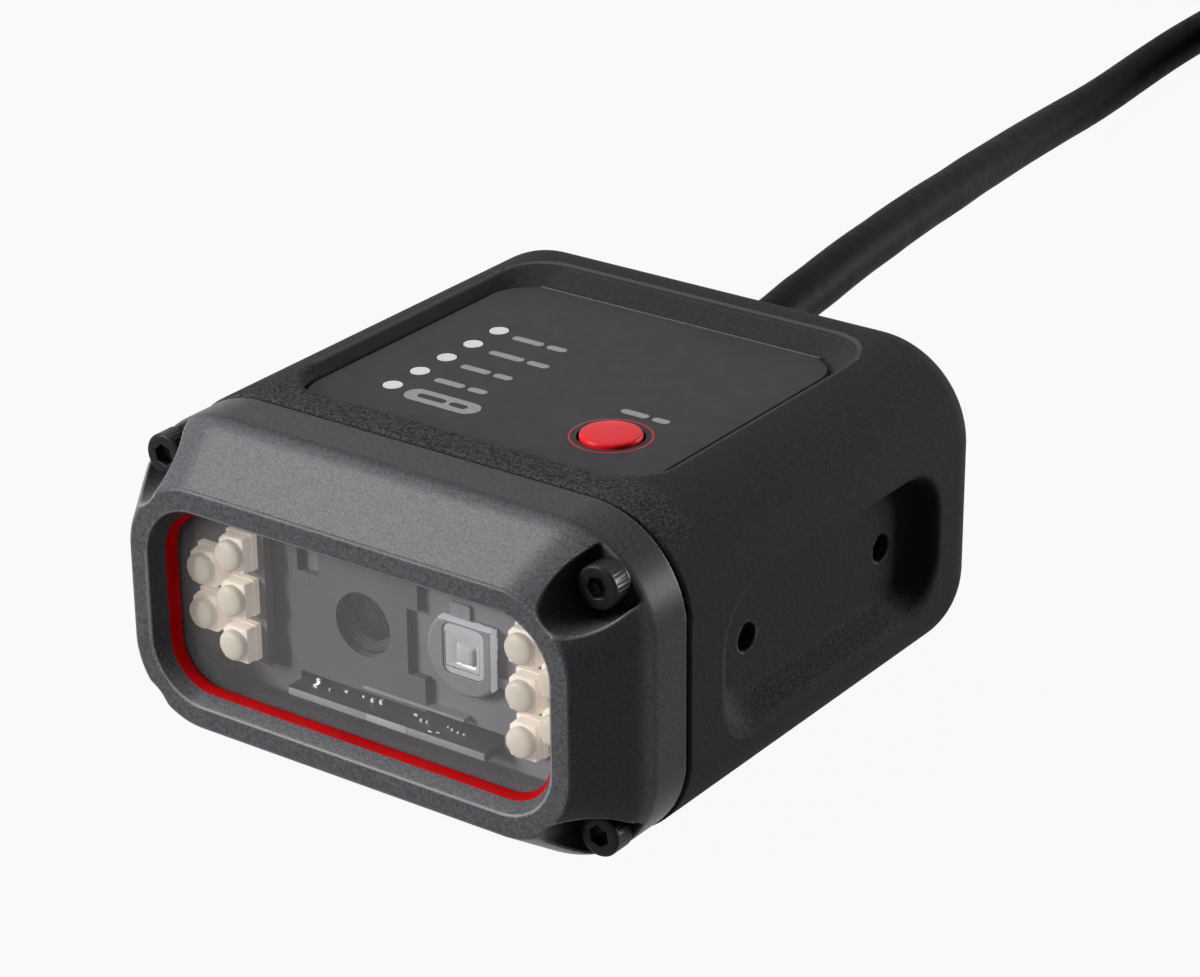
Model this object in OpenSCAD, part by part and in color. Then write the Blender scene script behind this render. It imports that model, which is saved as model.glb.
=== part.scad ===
// Fixed barcode reader: tapered cast bezel, rounded housing, lit optics bay and a fixed cable.
// Millimetres. Modules keep the bezel's face at Y = 0, X to the right seen from the front
// and Z up from the bottom; place() then moves the origin to the bottom centre.

/* [Housing] */
// Width of the housing
body_w = 63.2; // [62.4:0.2:70]
// Height of the housing
body_h = 36; // [35.6:0.2:42]
// Depth from the bezel's face to the housing's back
body_d = 68; // [67:0.5:85]
// Corner radius of the housing seen from the front
corner_r = 11; // [10.6:0.1:11.4]
// Radius of the housing's back edges
back_r = 5; // [3:0.1:6]
// Wall thickness of the housing
wall = 2.5; // [2.2:0.1:2.8]

/* [Bezel] */
// Width of the flat front frame
frame_w = 54; // [53.4:0.2:55]
// Height of the flat front frame
frame_h = 26; // [25.4:0.2:26.8]
// Corner radius of the flat front frame
frame_r = 8.2; // [7.6:0.1:8.8]
// Small chamfer round the front frame
nose_c = 0.4; // [0.2:0.1:0.8]
// Depth at which the taper meets the rim
taper_d = 7.2; // [6.6:0.1:7.6]
// Half length of the soft edge between taper and rim
soft_d = 0.7; // [0.3:0.1:1]
// Depth of the bezel
bezel_d = 13.3; // [12.6:0.1:14]
// Step from the housing's skin down to the bezel's rim
rim_step = 0.2; // [0:0.05:0.4]
// Thickness of the bezel's rim wall
rim_wall = 4; // [3.8:0.1:4.2]
// Thickness of the gasket between bezel and housing
gasket_t = 0.4; // [0.3:0.1:0.8]
// How far the gasket stays inside the bezel's edge
gasket_in = 0.6; // [0.4:0.1:1]

/* [Window] */
// Width of the opening at the face
open_w = 50; // [49.4:0.2:50.6]
// Height of the opening at the face
open_h = 21.5; // [21:0.1:22]
// Corner radius of the opening
open_r = 6.2; // [5.8:0.1:6.6]
// Slope of the opening's left and right walls in degrees
side_flare = 34; // [20:1:36]
// Slope of the opening's top and bottom walls in degrees
top_flare = 26; // [15:1:30]
// Depth of the sloped lip
lip_d = 1.7; // [1.4:0.1:2]
// Thickness of the red seal
seal_t = 1.2; // [0.9:0.1:1.3]
// Thickness of the window glass
glass_t = 1.3; // [1:0.1:1.4]
// Clearance round the glass and the seal
glass_fit = 0.2; // [0.1:0.05:0.3]

/* [Screws] */
// Distance of a corner screw from the corner's surface
screw_in = 2.35; // [2.3:0.05:2.5]
// Radius of the U-shaped screw pocket
pocket_r = 3.4; // [3:0.1:3.6]
// Depth of the pocket floor behind the end of the taper
pocket_sink = 0.5; // [0.3:0.1:0.7]
// Head diameter of a corner screw
cap_d = 4.5; // [4.2:0.1:4.8]
// Head height of a corner screw
cap_h = 2.5; // [2:0.1:2.8]
// Socket width of a corner screw
cap_hex = 2; // [1.5:0.1:2.2]
// Thread diameter of a corner screw
cap_thread = 2.5; // [2.3:0.1:2.6]
// Thread length of a corner screw
cap_l = 14; // [11:0.5:15]

/* [Label] */
// Width of the label plate
label_w = 42.6; // [41:0.2:43.4]
// Length of the label plate
label_l = 39.2; // [37:0.2:39.4]
// Thickness of the label plate
label_t = 0.5; // [0.4:0.1:0.7]
// Depth of the label's face below the housing's top
label_sink = 1.4; // [1:0.1:1.5]
// Distance from the housing's front edge to the label
label_gap = 4.3; // [4:0.1:4.8]
// Corner radius of the label
label_r = 5; // [3:0.1:6]
// Length of the ramp behind the label
ramp_l = 3.6; // [1:0.1:4]
// Widening of the recess at the top on each side
recess_draft = 1.4; // [0.4:0.1:2]

/* [Controls] */
// Diameter of the button's cap
button_d = 6.4; // [5.6:0.1:6.6]
// Height of the button above the label
button_up = 0.8; // [0.7:0.1:1.2]
// Gap round the button
button_fit = 0.3; // [0.2:0.05:0.4]
// Travel of the button
button_travel = 0.6; // [0.3:0.1:0.6]
// Distance of the button from the middle
button_x = 12; // [11:0.2:12.6]
// Diameter of a status light
light_d = 2.1; // [1.8:0.1:2.4]
// Spacing of the status lights
light_pitch = 4.5; // [4.2:0.1:4.6]
// Distance of the status lights from the middle
light_x = 14; // [13:0.2:14.6]

/* [Side recesses] */
// Depth of the recess on each side
side_deep = 3.2; // [2.6:0.1:3.4]
// Height of the recess at the skin
side_h = 16.3; // [15.4:0.1:16.8]
// Spacing of the two mounting holes
mount_pitch = 25; // [23:0.5:26]
// Diameter of a mounting hole
mount_d = 3; // [2.5:0.1:3.4]
// Depth of a mounting hole
mount_deep = 5; // [4:0.2:5]

/* [Optics] */
// Spacing of the light emitters in a column
led_pitch = 5; // [4.6:0.1:5.1]
// Distance between the two columns of emitters
led_step = 3.9; // [3.6:0.1:4.2]
// Width of an emitter's base
led_w = 3.1; // [2.8:0.1:3.2]
// Height of an emitter's base
led_h = 4; // [3.6:0.1:4.2]
// Radius of an emitter's dome
dome_r = 1.48; // [1.2:0.02:1.5]
// Offset of the camera lens from the middle
lens_x = -3.8; // [-4.4:0.1:-3.6]
// Diameter of the lens hole
lens_hole = 6.9; // [6.8:0.1:7.4]
// Offset of the aimer from the middle
aimer_x = 9.2; // [8.8:0.1:9.4]
// Diameter of the aimer's holder
aimer_d = 9.2; // [8.6:0.1:9.4]

/* [Cable] */
// Diameter of the cable
cable_d = 6; // [5:0.1:6.4]
// Distance of the cable from the middle
cable_x = -14; // [-14.8:0.1:-13.4]
// Height of the cable above the bottom
cable_z = 18; // [17.2:0.1:18.8]
// Length of the strain relief behind the housing
boot_l = 20; // [16:0.5:22]

/* [Hidden] */
$fn = 48;

eps = 0.01;
fit = 0.2;
thread_fit = 0.05;

zc = body_h / 2;
rim_w = body_w - 2 * rim_step;
rim_h = body_h - 2 * rim_step;
rim_r = corner_r - rim_step;
house_y = bezel_d + gasket_t;
house_l = body_d - house_y;

// window stack, front to back
pocket_in = 0.7;
pocket_w = open_w + 2 * pocket_in;
pocket_h = open_h + 2 * pocket_in;
pocket_corner = open_r + 0.3;
corner_flare = 0.55;
seal_y = lip_d;
glass_y = seal_y + seal_t;
shoulder_y = 9.4;
cavity_w = body_w - 2 * rim_wall;
cavity_h = body_h - 2 * rim_wall;
cavity_r = 9;

// corner screws
screw_out = (corner_r - screw_in) * sqrt(0.5);
screw_x = body_w / 2 - corner_r + screw_out;
screw_z = body_h / 2 - corner_r + screw_out;
screw_y = taper_d + pocket_sink;
socket_deep = 1.2;
screw_free = 0.3;
screw_end = 0.5;
post_r = 3.4;
post_l = 12;

// label and what passes through it
label_z = body_h - label_sink;
floor_z = label_z - label_t;
ceiling_z = floor_z - wall;
label_y = house_y + label_gap;
label_mid = label_y + label_l / 2;
label_edge = 0.25;
recess_soft = 0.8;
lights_in = 8.2;
lights_y = label_y + lights_in;
light_lip = 0.55;
light_flange_d = light_d + 2 * light_lip;
light_flange_t = 0.8;
light_low = 2;
button_in = 10.2;
button_y = label_y + button_in;
button_hole = button_d + 2 * button_fit;
button_lip = 1;
button_flange_d = button_d + 2 * button_lip;
button_flange_t = 0.8;
button_stem_d = 4;
button_edge = 0.3;
stem_l = 1.5;
stem_z = ceiling_z - stem_l;
switch_gap = 0.1;
switch_top = stem_z - button_travel - switch_gap;
switch_w = 4.5;
plunger_d = 2.4;
plunger_up = 0.5;
ind_t = 1;
ind_drop = 4.4;
ind_z = ceiling_z - ind_drop;
ind_top = ind_z + ind_t;
ind_edge = 3;
ind_post_r = 1.9;
ind_x0 = -light_x - ind_edge;
ind_x1 = button_x + ind_edge + ind_post_r;
ind_y0 = label_y + ind_edge;
ind_l = 27;
ind_posts = [[-9, 5.2], [3.5, 5.2], [-9, 27.8], [11, 27.8]];
ind_screw_d = 1.6;
ind_head_h = 1;
ind_screw_l = ceiling_z - ind_z - screw_end;
ind_led = [1.6, 1.2, 0.9];

// side recesses
side_gap = 6.1;
side_y0 = house_y + side_gap;
side_l = 39.3;
side_drop = 0.85;
side_z = zc - side_drop;
side_r = 6;
floor_r = 5;
front_draft = 2.6;
back_draft = 0.9;
low_draft = 2.6;
high_draft = 0.8;
side_floor_l = side_l - front_draft - back_draft;
side_floor_h = side_h - low_draft - high_draft;
side_floor_y = side_y0 + front_draft + side_floor_l / 2;
side_floor_z = side_z + (low_draft - high_draft) / 2;
mount_in = 8.2;
side_x = body_w / 2 - side_deep;
mount_y = side_y0 + mount_in;
boss_wall = 2;
boss_end = 1;
boss_d = mount_d + 2 * boss_wall;
boss_l = mount_deep - wall + boss_end;

// optics bay
led_y = 5.5;
led_board_y = 7.6;
led_board_t = 1;
led_edge = 3;
led_out = open_w / 2 - led_edge;
led_in = led_out - led_step;
led_drop = 0.4;
led_z = zc - led_drop;
led_rim = 0.3;
led_rim_t = 0.8;
dome_y = 5.98;
led_margin_in = 0.95;
led_margin_out = 1.2;
led_margin_up = 0.7;
led_board_in = led_in - led_w / 2 - led_margin_in;
led_board_out = led_out + led_w / 2 + led_margin_out;
led_board_h = 2 * led_pitch + led_h + 2 * led_margin_up;
pad_in = 0.5;
chassis_t = 1.8;
chassis_fit = 0.15;
bracket_y = 8.5;
bracket_t = shoulder_y - bracket_y;
lens_drop = 0.4;
lens_z = zc - lens_drop;
tube_wall = 0.9;
holder_w = 12;
holder_l = 6.8;
barrel_d = lens_hole - 2 * fit;
barrel_l = 5.6;
barrel_wall = 0.8;
barrel_gap = 0.1;
barrel_free = 1;
tube_d = barrel_d + 2 * tube_wall;
lens_d = barrel_d - 2 * barrel_wall;
lens_in = 0.9;
lens_t = 1.2;
sensor_y = shoulder_y + chassis_t + holder_l;
sensor_t = 1;
sensor_w = 7;
sensor_h = 6;
sensor_free = 1.2;
sensor_board_w = 16;
sensor_board_t = 1.2;
aimer_up = 0.5;
aimer_z = zc + aimer_up;
aimer_y = 7.9;
aimer_lens_y = 7.5;
aimer_lens_t = 1.4;
aimer_seat_y = aimer_lens_y + aimer_lens_t;
aimer_led_d = 3;
aimer_led_gap = 0.1;
aimer_led_lip = 0.7;
aimer_led_t = 1.2;
aimer_lens_w = 5;
aimer_lens_h = 5.4;
aimer_lens_r = 1;
aimer_flat = 3.2;
aimer_tab = 4.4;
aimer_tab_w = 1.6;

// main board
board_up = 0.8;
board_z = zc - open_h / 2 + board_up;
board_t = 0.9;
board_top = board_z + board_t;
board_side = 2.4;
board_hw = side_x - wall - board_side;
board_y = 20;
board_l = 38;
tongue_hw = 12.5;
tongue_y = 6.8;
board_post_in = 3.5;
board_post_x = board_hw - board_post_in;
board_post_end = 6;
board_post_y = [board_y + board_post_end, board_y + board_l - board_post_end];
board_post_r = 2.5;
board_screw_d = 2;
board_head_d = 3.6;
board_head_h = 1.3;
board_screw_l = board_top - wall - screw_end;
slot_over = 1;
bracket_low = board_top + slot_over + fit;
bracket_high = zc + 9;
bracket_left = 9.4;
bracket_right = 7.7;
bracket_top = 7;
waist = 5.6;
waist_low = 3.8;
waist_high = 3.4;
notch_far = 8.2;
notch_near = 5.5;
notch_up = 3.8;
header_in = 11.5;
header_y = board_y + board_l - header_in;
// chips: place on the board, then width, depth and height
chips = [[-4, 10, 13, 13, 1.4], [-17, 12, 9, 11, 1.1], [12, 8, 5, 6, 1.6], [12, 18, 6, 6, 2.8]];
// small parts near the tongue's edge: place, width and depth
smalls = [[-8.5, 1.2, 0.8], [-4.4, 0.9, 0.6], [-0.8, 1.6, 0.8], [3.6, 0.9, 0.6], [6.2, 1.4, 0.8],
    [9.4, 0.9, 0.6]];
small_in = 0.5;
small_h = 0.5;
header_w = 10;
header_d = 5;
header_h = 5;

// cable, measured from the housing's back; the route is chosen by hand
gland_d = 9.6;
gland_collar_d = 11.4;
gland_collar_t = 1.6;
gland_slope = 0.6;
boot_end_d = cable_d + 1.4;
cable_sides = 12;
lead_d = 3.2;
lead_end = 2.4;
route = [[cable_x, boot_l, cable_z], [cable_x, boot_l + 4, cable_z], [-14.2, 28, 18], [-14.7, 31.5, 17.9],
    [-15.4, 35, 17.8], [-16.2, 39, 17.7], [-17.1, 43.5, 17.4], [-18, 48, 17.2], [-19.3, 54, 16.8],
    [-20.6, 60, 16.3], [-21.9, 66, 15.7], [-23.3, 72, 15.1], [-24.7, 78, 14.4], [-26.2, 84, 13.6],
    [-28.9, 95, 12], [-31.8, 106, 10.4], [-34.8, 118, 8.6], [-37.5, 129, 7], [-39.8, 140, 5.6],
    [-41.6, 150, 4.5], [-42.8, 159.5, 3.8], [-43.9, 168.7, 3.4], [-44.8, 177, 3.3], [-45.4, 185, 3.4],
    [-45.8, 194, 3.7], [-46, 204, 3.9], [-46, 214, 4]];
coil_at = [-4, 230];
coil_in = 27;
coil_out = 45;
coil_h = 12;
coil_round = 3;
tie_t = 1;
tie_span = 7;
tie_turns = [50, 250];
tail = [[38, 213.8, 10], [38, 206, 9.6], [38, 198, 8.8], [38, 190, 7.9], [38, 182, 7.3], [38, 176, 7.3]];
plug_at = tail[len(tail) - 1];
plug_l = 26;
plug_d = 12;
plug_wall = 0.8;
plug_neck = 9;
plug_rise = 2;
nut_d = 14.4;
nut_l = 10;
nut_over = 4;
nut_c = 0.8;
insert_d = 8.4;
pin_d = 1;
pin_l = 2;
pin_out = 2.2;

function blend(a, b, t) = a + (b - a) * t;
function unit(v) = v / norm(v);
function heading(p, i) = unit(p[min(i + 1, len(p) - 1)] - p[max(i - 1, 0)]);
function across(t) = unit(cross(t, [0, 0, 1]));
function ring(p, i, r, n) = let (t = heading(p, i), s = across(t), u = cross(s, t))
    [for (k = [0 : n - 1]) p[i] + r * (cos(360 * k / n) * s + sin(360 * k / n) * u)];

module place() {
    translate([0, -body_d / 2, 0]) children();
}

module behind() {
    translate([0, body_d, 0]) children();
}

// a flat outline in X and Z, pushed back along Y
module along_y(y, l) {
    translate([0, y + l, 0]) rotate([90, 0, 0]) linear_extrude(l) children();
}

// a profile of radius and height, turned about the Y direction
module turned_y(x, y, z) {
    translate([x, y, z]) rotate([-90, 0, 0]) rotate_extrude() children();
}

module rod_y(x, y, z, d, l) {
    translate([x, y, z]) rotate([-90, 0, 0]) cylinder(d = d, h = l);
}

module rounded_rect(w, h, r) {
    square([w, h - 2 * r], center = true);
    square([w - 2 * r, h], center = true);
    for (x = [-1, 1], y = [-1, 1]) {
        translate([x * (w / 2 - r), y * (h / 2 - r)]) circle(r);
    }
}

module front_outline(w, h, r) {
    translate([0, zc]) rounded_rect(w, h, r);
}

module slice(y, w, h, r) {
    along_y(y, eps) front_outline(w, h, r);
}

module at_corners() {
    for (x = [-1, 1], z = [-1, 1]) {
        translate([x * screw_x, 0, zc + z * screw_z]) rotate([0, -z * (90 - 45 * x), 0]) children();
    }
}

module screw_holes(y, l, d) {
    for (x = [-1, 1], z = [-1, 1]) {
        rod_y(x * screw_x, y, zc + z * screw_z, d, l);
    }
}

// sloped wall of the opening between two depths
module flare(y0, y1) {
    hull() {
        flare_slice(y0 - eps, y0);
        flare_slice(y1, y1);
    }
}

module flare_slice(y, deep) {
    slice(y, open_w - 2 * deep * tan(side_flare), open_h - 2 * deep * tan(top_flare),
        open_r - deep * corner_flare);
}

module bezel_blank() {
    flat = taper_d - nose_c;
    lean = (flat - soft_d) / flat;
    crown = 0.968;
    hull() {
        slice(0, frame_w - 2 * nose_c, frame_h - 2 * nose_c, frame_r - nose_c);
        slice(nose_c, frame_w, frame_h, frame_r);
        for (t = [[taper_d - soft_d, lean], [taper_d, crown]]) {
            slice(t[0], blend(frame_w, rim_w, t[1]), blend(frame_h, rim_h, t[1]),
                blend(frame_r, rim_r, t[1]));
        }
        slice(taper_d + soft_d, rim_w, rim_h, rim_r);
    }
    along_y(taper_d + soft_d, bezel_d - taper_d - soft_d) front_outline(rim_w, rim_h, rim_r);
}

module front_bezel() {
    color([0.33, 0.33, 0.35]) place() difference() {
        bezel_blank();
        flare(0, lip_d);
        along_y(lip_d, shoulder_y) front_outline(pocket_w, pocket_h, pocket_corner);
        along_y(shoulder_y, bezel_d) front_outline(cavity_w, cavity_h, cavity_r);
        at_corners() {
            rod_y(0, -1, 0, 2 * pocket_r, screw_y + 1);
            translate([0, -1, -pocket_r]) cube([body_h, screw_y + 1, 2 * pocket_r]);
        }
        screw_holes(0, body_d, cap_thread + screw_free);
    }
}

module bezel_screws() {
    color([0.05, 0.05, 0.055]) place() for (x = [-1, 1], z = [-1, 1]) {
        translate([x * screw_x, screw_y, zc + z * screw_z]) difference() {
            union() {
                rod_y(0, -cap_h, 0, cap_d, cap_h);
                rod_y(0, 0, 0, cap_thread, cap_l);
            }
            translate([0, -cap_h - eps, 0]) rotate([-90, 0, 0])
                cylinder(d = cap_hex / cos(30), h = socket_deep, $fn = 6);
        }
    }
}

module window_seal() {
    color([0.62, 0.06, 0.08]) place() difference() {
        along_y(seal_y, seal_t) front_outline(pocket_w - 2 * glass_fit, pocket_h - 2 * glass_fit,
            pocket_corner - glass_fit);
        flare(seal_y, glass_y);
    }
}

module window() {
    color([0.7, 0.75, 0.78, 0.35]) place() along_y(glass_y, glass_t)
        front_outline(pocket_w - 2 * glass_fit, pocket_h - 2 * glass_fit, pocket_corner - glass_fit);
}

module housing_gasket() {
    color([0.06, 0.06, 0.06]) place() difference() {
        along_y(bezel_d, gasket_t)
            front_outline(rim_w - 2 * gasket_in, rim_h - 2 * gasket_in, rim_r - gasket_in);
        along_y(bezel_d - eps, gasket_t + 2 * eps) front_outline(cavity_w + fit, cavity_h + fit, cavity_r);
        screw_holes(bezel_d - eps, gasket_t + 2 * eps, cap_thread + screw_free + fit);
    }
}

// block with rounded corners along Y and rounded edges at the back
module rounded_block(y, l) {
    for (x = [-1, 1], z = [-1, 1]) {
        turned_y(x * (body_w / 2 - corner_r), y, zc + z * (body_h / 2 - corner_r)) {
            square([corner_r, l - back_r]);
            square([corner_r - back_r, l]);
            translate([corner_r - back_r, l - back_r]) intersection() {
                circle(back_r);
                square(back_r);
            }
        }
    }
    translate([0, y, zc]) {
        linear_extrude(body_h - 2 * corner_r, center = true) back_rounded(body_w, l);
        rotate([0, 90, 0]) linear_extrude(body_w - 2 * corner_r, center = true) back_rounded(body_h, l);
    }
}

module back_rounded(w, l) {
    translate([-w / 2, 0]) square([w, l - back_r]);
    translate([-w / 2 + back_r, 0]) square([w - 2 * back_r, l]);
    for (x = [-1, 1]) {
        translate([x * (w / 2 - back_r), l - back_r]) circle(back_r);
    }
}

module housing_hollow() {
    low = wall;
    high = ceiling_z;
    difference() {
        along_y(house_y - eps, house_l - wall + eps) translate([0, (low + high) / 2])
            rounded_rect(body_w - 2 * wall, high - low, corner_r - wall);
        screw_holes(house_y - 1, post_l + 1, 2 * post_r);
        // side walls thickened behind the recesses, with a boss at each mounting hole
        for (x = [-1, 1]) {
            translate([x * (side_x - wall + body_w / 4), side_y0 + side_l / 2, side_z])
                cube([body_w / 2, side_l + 2 * wall, side_h + 2 * wall], center = true);
            for (y = [0, mount_pitch]) {
                translate([x * (side_x - wall - boss_l), mount_y + y, side_z]) rotate([0, x * 90, 0])
                    cylinder(d = boss_d, h = boss_l + wall);
            }
        }
        for (x = [-1, 1], y = board_post_y) {
            translate([x * board_post_x, y, 0]) cylinder(r = board_post_r, h = board_z);
        }
        for (p = ind_posts) {
            translate([p[0], label_y + p[1], ind_top]) cylinder(r = ind_post_r, h = body_h);
        }
    }
}

module label_recess() {
    hull() {
        translate([0, label_mid, floor_z]) linear_extrude(eps)
            rounded_rect(label_w + 2 * fit, label_l + 2 * fit, label_r + fit);
        translate([0, label_mid + ramp_l / 2, body_h]) linear_extrude(eps)
            rounded_rect(label_w + 2 * fit + 2 * recess_draft, label_l + 2 * fit + ramp_l,
                label_r + fit + recess_soft);
    }
}

module side_recess() {
    hull() {
        translate([side_x, side_floor_y, side_floor_z]) rotate([0, 90, 0])
            linear_extrude(eps) rounded_rect(side_floor_h, side_floor_l, floor_r);
        translate([body_w / 2, side_y0 + side_l / 2, side_z]) rotate([0, 90, 0])
            linear_extrude(eps) rounded_rect(side_h, side_l, side_r);
    }
    for (y = [0, mount_pitch]) {
        translate([side_x - mount_deep, mount_y + y, side_z]) rotate([0, 90, 0])
            cylinder(d = mount_d, h = mount_deep + 1);
    }
}

module main_housing() {
    color([0.14, 0.14, 0.15]) place() difference() {
        rounded_block(house_y, house_l);
        housing_hollow();
        label_recess();
        side_recess();
        mirror([1, 0, 0]) side_recess();
        screw_holes(house_y - 1, post_l - 1, cap_thread + 2 * thread_fit);
        control_holes();
        rod_y(cable_x, body_d - wall - 1, cable_z, gland_d, wall + 2);
        for (x = [-1, 1], y = board_post_y) {
            translate([x * board_post_x, y, wall]) cylinder(d = board_screw_d + 2 * thread_fit, h = board_z);
        }
        for (p = ind_posts) {
            translate([p[0], label_y + p[1], ind_top - eps])
                cylinder(d = ind_screw_d + 2 * thread_fit, h = ceiling_z - ind_top);
        }
    }
}

module at_lights() {
    for (i = [0 : 4]) {
        translate([-light_x, lights_y + i * light_pitch, 0]) children();
    }
}

module control_holes() {
    at_lights() translate([0, 0, ceiling_z - 1]) cylinder(d = light_d + fit, h = body_h);
    translate([button_x, button_y, ceiling_z - 1]) cylinder(d = button_hole, h = body_h);
}

module top_label() {
    color([0.27, 0.27, 0.29]) place() difference() {
        hull() {
            translate([0, label_mid, floor_z]) linear_extrude(label_t - label_edge)
                rounded_rect(label_w, label_l, label_r);
            translate([0, label_mid, label_z - eps]) linear_extrude(eps)
                rounded_rect(label_w - 2 * label_edge, label_l - 2 * label_edge, label_r - label_edge);
        }
        control_holes();
    }
}

module status_lights() {
    color([0.75, 0.8, 0.78]) place() at_lights() {
        translate([0, 0, ceiling_z - light_low]) cylinder(d = light_d, h = label_z - ceiling_z + light_low);
        translate([0, 0, ceiling_z - light_flange_t]) cylinder(d = light_flange_d, h = light_flange_t);
    }
}

module setup_button() {
    r = button_d / 2;
    top = label_z + button_up;
    flange_z = ceiling_z - button_flange_t;
    color([0.85, 0.12, 0.14]) place() translate([button_x, button_y, 0]) rotate_extrude()
        polygon([[0, stem_z], [button_stem_d / 2, stem_z], [button_stem_d / 2, flange_z],
            [button_flange_d / 2, flange_z], [button_flange_d / 2, ceiling_z], [r, ceiling_z],
            [r, top - button_edge], [r - button_edge, top], [0, top]]);
}

module button_switch() {
    color([0.2, 0.2, 0.2]) place() translate([button_x, button_y, ind_top]) {
        linear_extrude(switch_top - ind_top - plunger_up) square(switch_w, center = true);
        cylinder(d = plunger_d, h = switch_top - ind_top);
    }
}

module indicator_board() {
    color([0.1, 0.3, 0.18]) place() difference() {
        translate([ind_x0, ind_y0, ind_z]) cube([ind_x1 - ind_x0, ind_l, ind_t]);
        for (p = ind_posts) {
            translate([p[0], label_y + p[1], ind_z - 1]) cylinder(d = ind_screw_d + fit, h = ind_t + 2);
        }
    }
}

module indicator_leds() {
    color([0.9, 0.9, 0.85]) place() at_lights()
        translate([-ind_led[0] / 2, -ind_led[1] / 2, ind_top]) cube(ind_led);
}

module indicator_screws() {
    color([0.6, 0.61, 0.63]) place() for (p = ind_posts) {
        translate([p[0], label_y + p[1], ind_z - ind_head_h]) cylinder(d = 2 * ind_screw_d, h = ind_head_h);
        translate([p[0], label_y + p[1], ind_z - eps]) cylinder(d = ind_screw_d, h = ind_screw_l);
    }
}

module optics_chassis() {
    color([0.12, 0.12, 0.13]) place() difference() {
        union() {
            along_y(shoulder_y, chassis_t) front_outline(cavity_w - 2 * chassis_fit,
                cavity_h - 2 * chassis_fit, cavity_r - chassis_fit);
            for (x = [-1, 1]) {
                along_y(led_board_y + led_board_t, shoulder_y - led_board_y - led_board_t)
                    translate([x * (led_board_in + led_board_out) / 2, led_z])
                        square([led_board_out - led_board_in - 2 * pad_in, led_board_h - 2 * pad_in],
                            center = true);
            }
        }
        along_y(shoulder_y - 1, chassis_t + 2) {
            translate([lens_x, lens_z]) circle(d = tube_d + 2 * fit);
            translate([-tongue_hw - 2 * fit, board_z - 2 * fit])
                square([2 * tongue_hw + 4 * fit, board_t + 2 * fit + slot_over]);
        }
        rod_y(aimer_x, shoulder_y - 1, aimer_z, aimer_led_d + 2 * fit, chassis_t + 2);
    }
}

module led_board() {
    color([0.82, 0.83, 0.8]) place() along_y(led_board_y, led_board_t)
        translate([led_board_in, led_z - led_board_h / 2])
            square([led_board_out - led_board_in, led_board_h]);
}

module led_set() {
    spots = [[led_in, -1], [led_in, 0], [led_in, 1], [led_out, -0.5], [led_out, 0.5]];
    color([0.93, 0.9, 0.78]) place() for (s = spots) {
        translate([s[0], 0, led_z + s[1] * led_pitch]) {
            along_y(led_y, led_board_y - led_y) square([led_w, led_h], center = true);
            along_y(led_board_y - led_rim_t, led_rim_t)
                square([led_w + led_rim, led_h + led_rim], center = true);
            translate([0, dome_y, 0]) sphere(dome_r);
        }
    }
}

module left_led_board() {
    mirror([1, 0, 0]) led_board();
}

module right_led_board() {
    led_board();
}

module left_leds() {
    mirror([1, 0, 0]) led_set();
}

module right_leds() {
    led_set();
}

module imager_bracket() {
    left = lens_x - bracket_left;
    right = lens_x + bracket_right;
    top_right = lens_x + bracket_top;
    step_x = lens_x + waist;
    step_z0 = lens_z - waist_low;
    step_z1 = lens_z + waist_high;
    notch_x0 = lens_x - notch_far;
    notch_x1 = lens_x - notch_near;
    notch_z = lens_z + notch_up;
    color([0.68, 0.69, 0.7]) place() along_y(bracket_y, bracket_t) difference() {
        polygon([[left, bracket_low], [right, bracket_low], [right, step_z0], [step_x, step_z0],
            [step_x, step_z1], [top_right, step_z1], [top_right, bracket_high], [notch_x1, bracket_high],
            [notch_x1, notch_z], [notch_x0, notch_z], [notch_x0, bracket_high], [left, bracket_high]]);
        translate([lens_x, lens_z]) circle(d = lens_hole);
    }
}

module lens_holder() {
    back = shoulder_y + chassis_t;
    color([0.07, 0.07, 0.08]) place() difference() {
        union() {
            along_y(back, holder_l) translate([lens_x, lens_z]) square(holder_w, center = true);
            rod_y(lens_x, shoulder_y + barrel_gap, lens_z, tube_d, chassis_t);
        }
        rod_y(lens_x, shoulder_y - 1, lens_z, barrel_d + 2 * thread_fit, barrel_l + 1);
        along_y(shoulder_y + barrel_l - barrel_free, holder_l) translate([lens_x, lens_z])
            square([sensor_w + sensor_free, sensor_h + sensor_free], center = true);
    }
}

module lens_barrel() {
    color([0.05, 0.05, 0.055]) place() difference() {
        rod_y(lens_x, shoulder_y + barrel_gap, lens_z, barrel_d, barrel_l);
        rod_y(lens_x, shoulder_y, lens_z, lens_d, barrel_l + 1);
    }
}

module lens_glass() {
    color([0.3, 0.35, 0.5, 0.6]) place()
        rod_y(lens_x, shoulder_y + barrel_gap + lens_in, lens_z, lens_d, lens_t);
}

module image_sensor() {
    color([0.25, 0.25, 0.28]) place() along_y(sensor_y - sensor_t, sensor_t)
        translate([lens_x, lens_z]) square([sensor_w, sensor_h], center = true);
}

module sensor_board() {
    color([0.1, 0.3, 0.18]) place() along_y(sensor_y, sensor_board_t)
        translate([lens_x, lens_z]) square(sensor_board_w, center = true);
}

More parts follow.
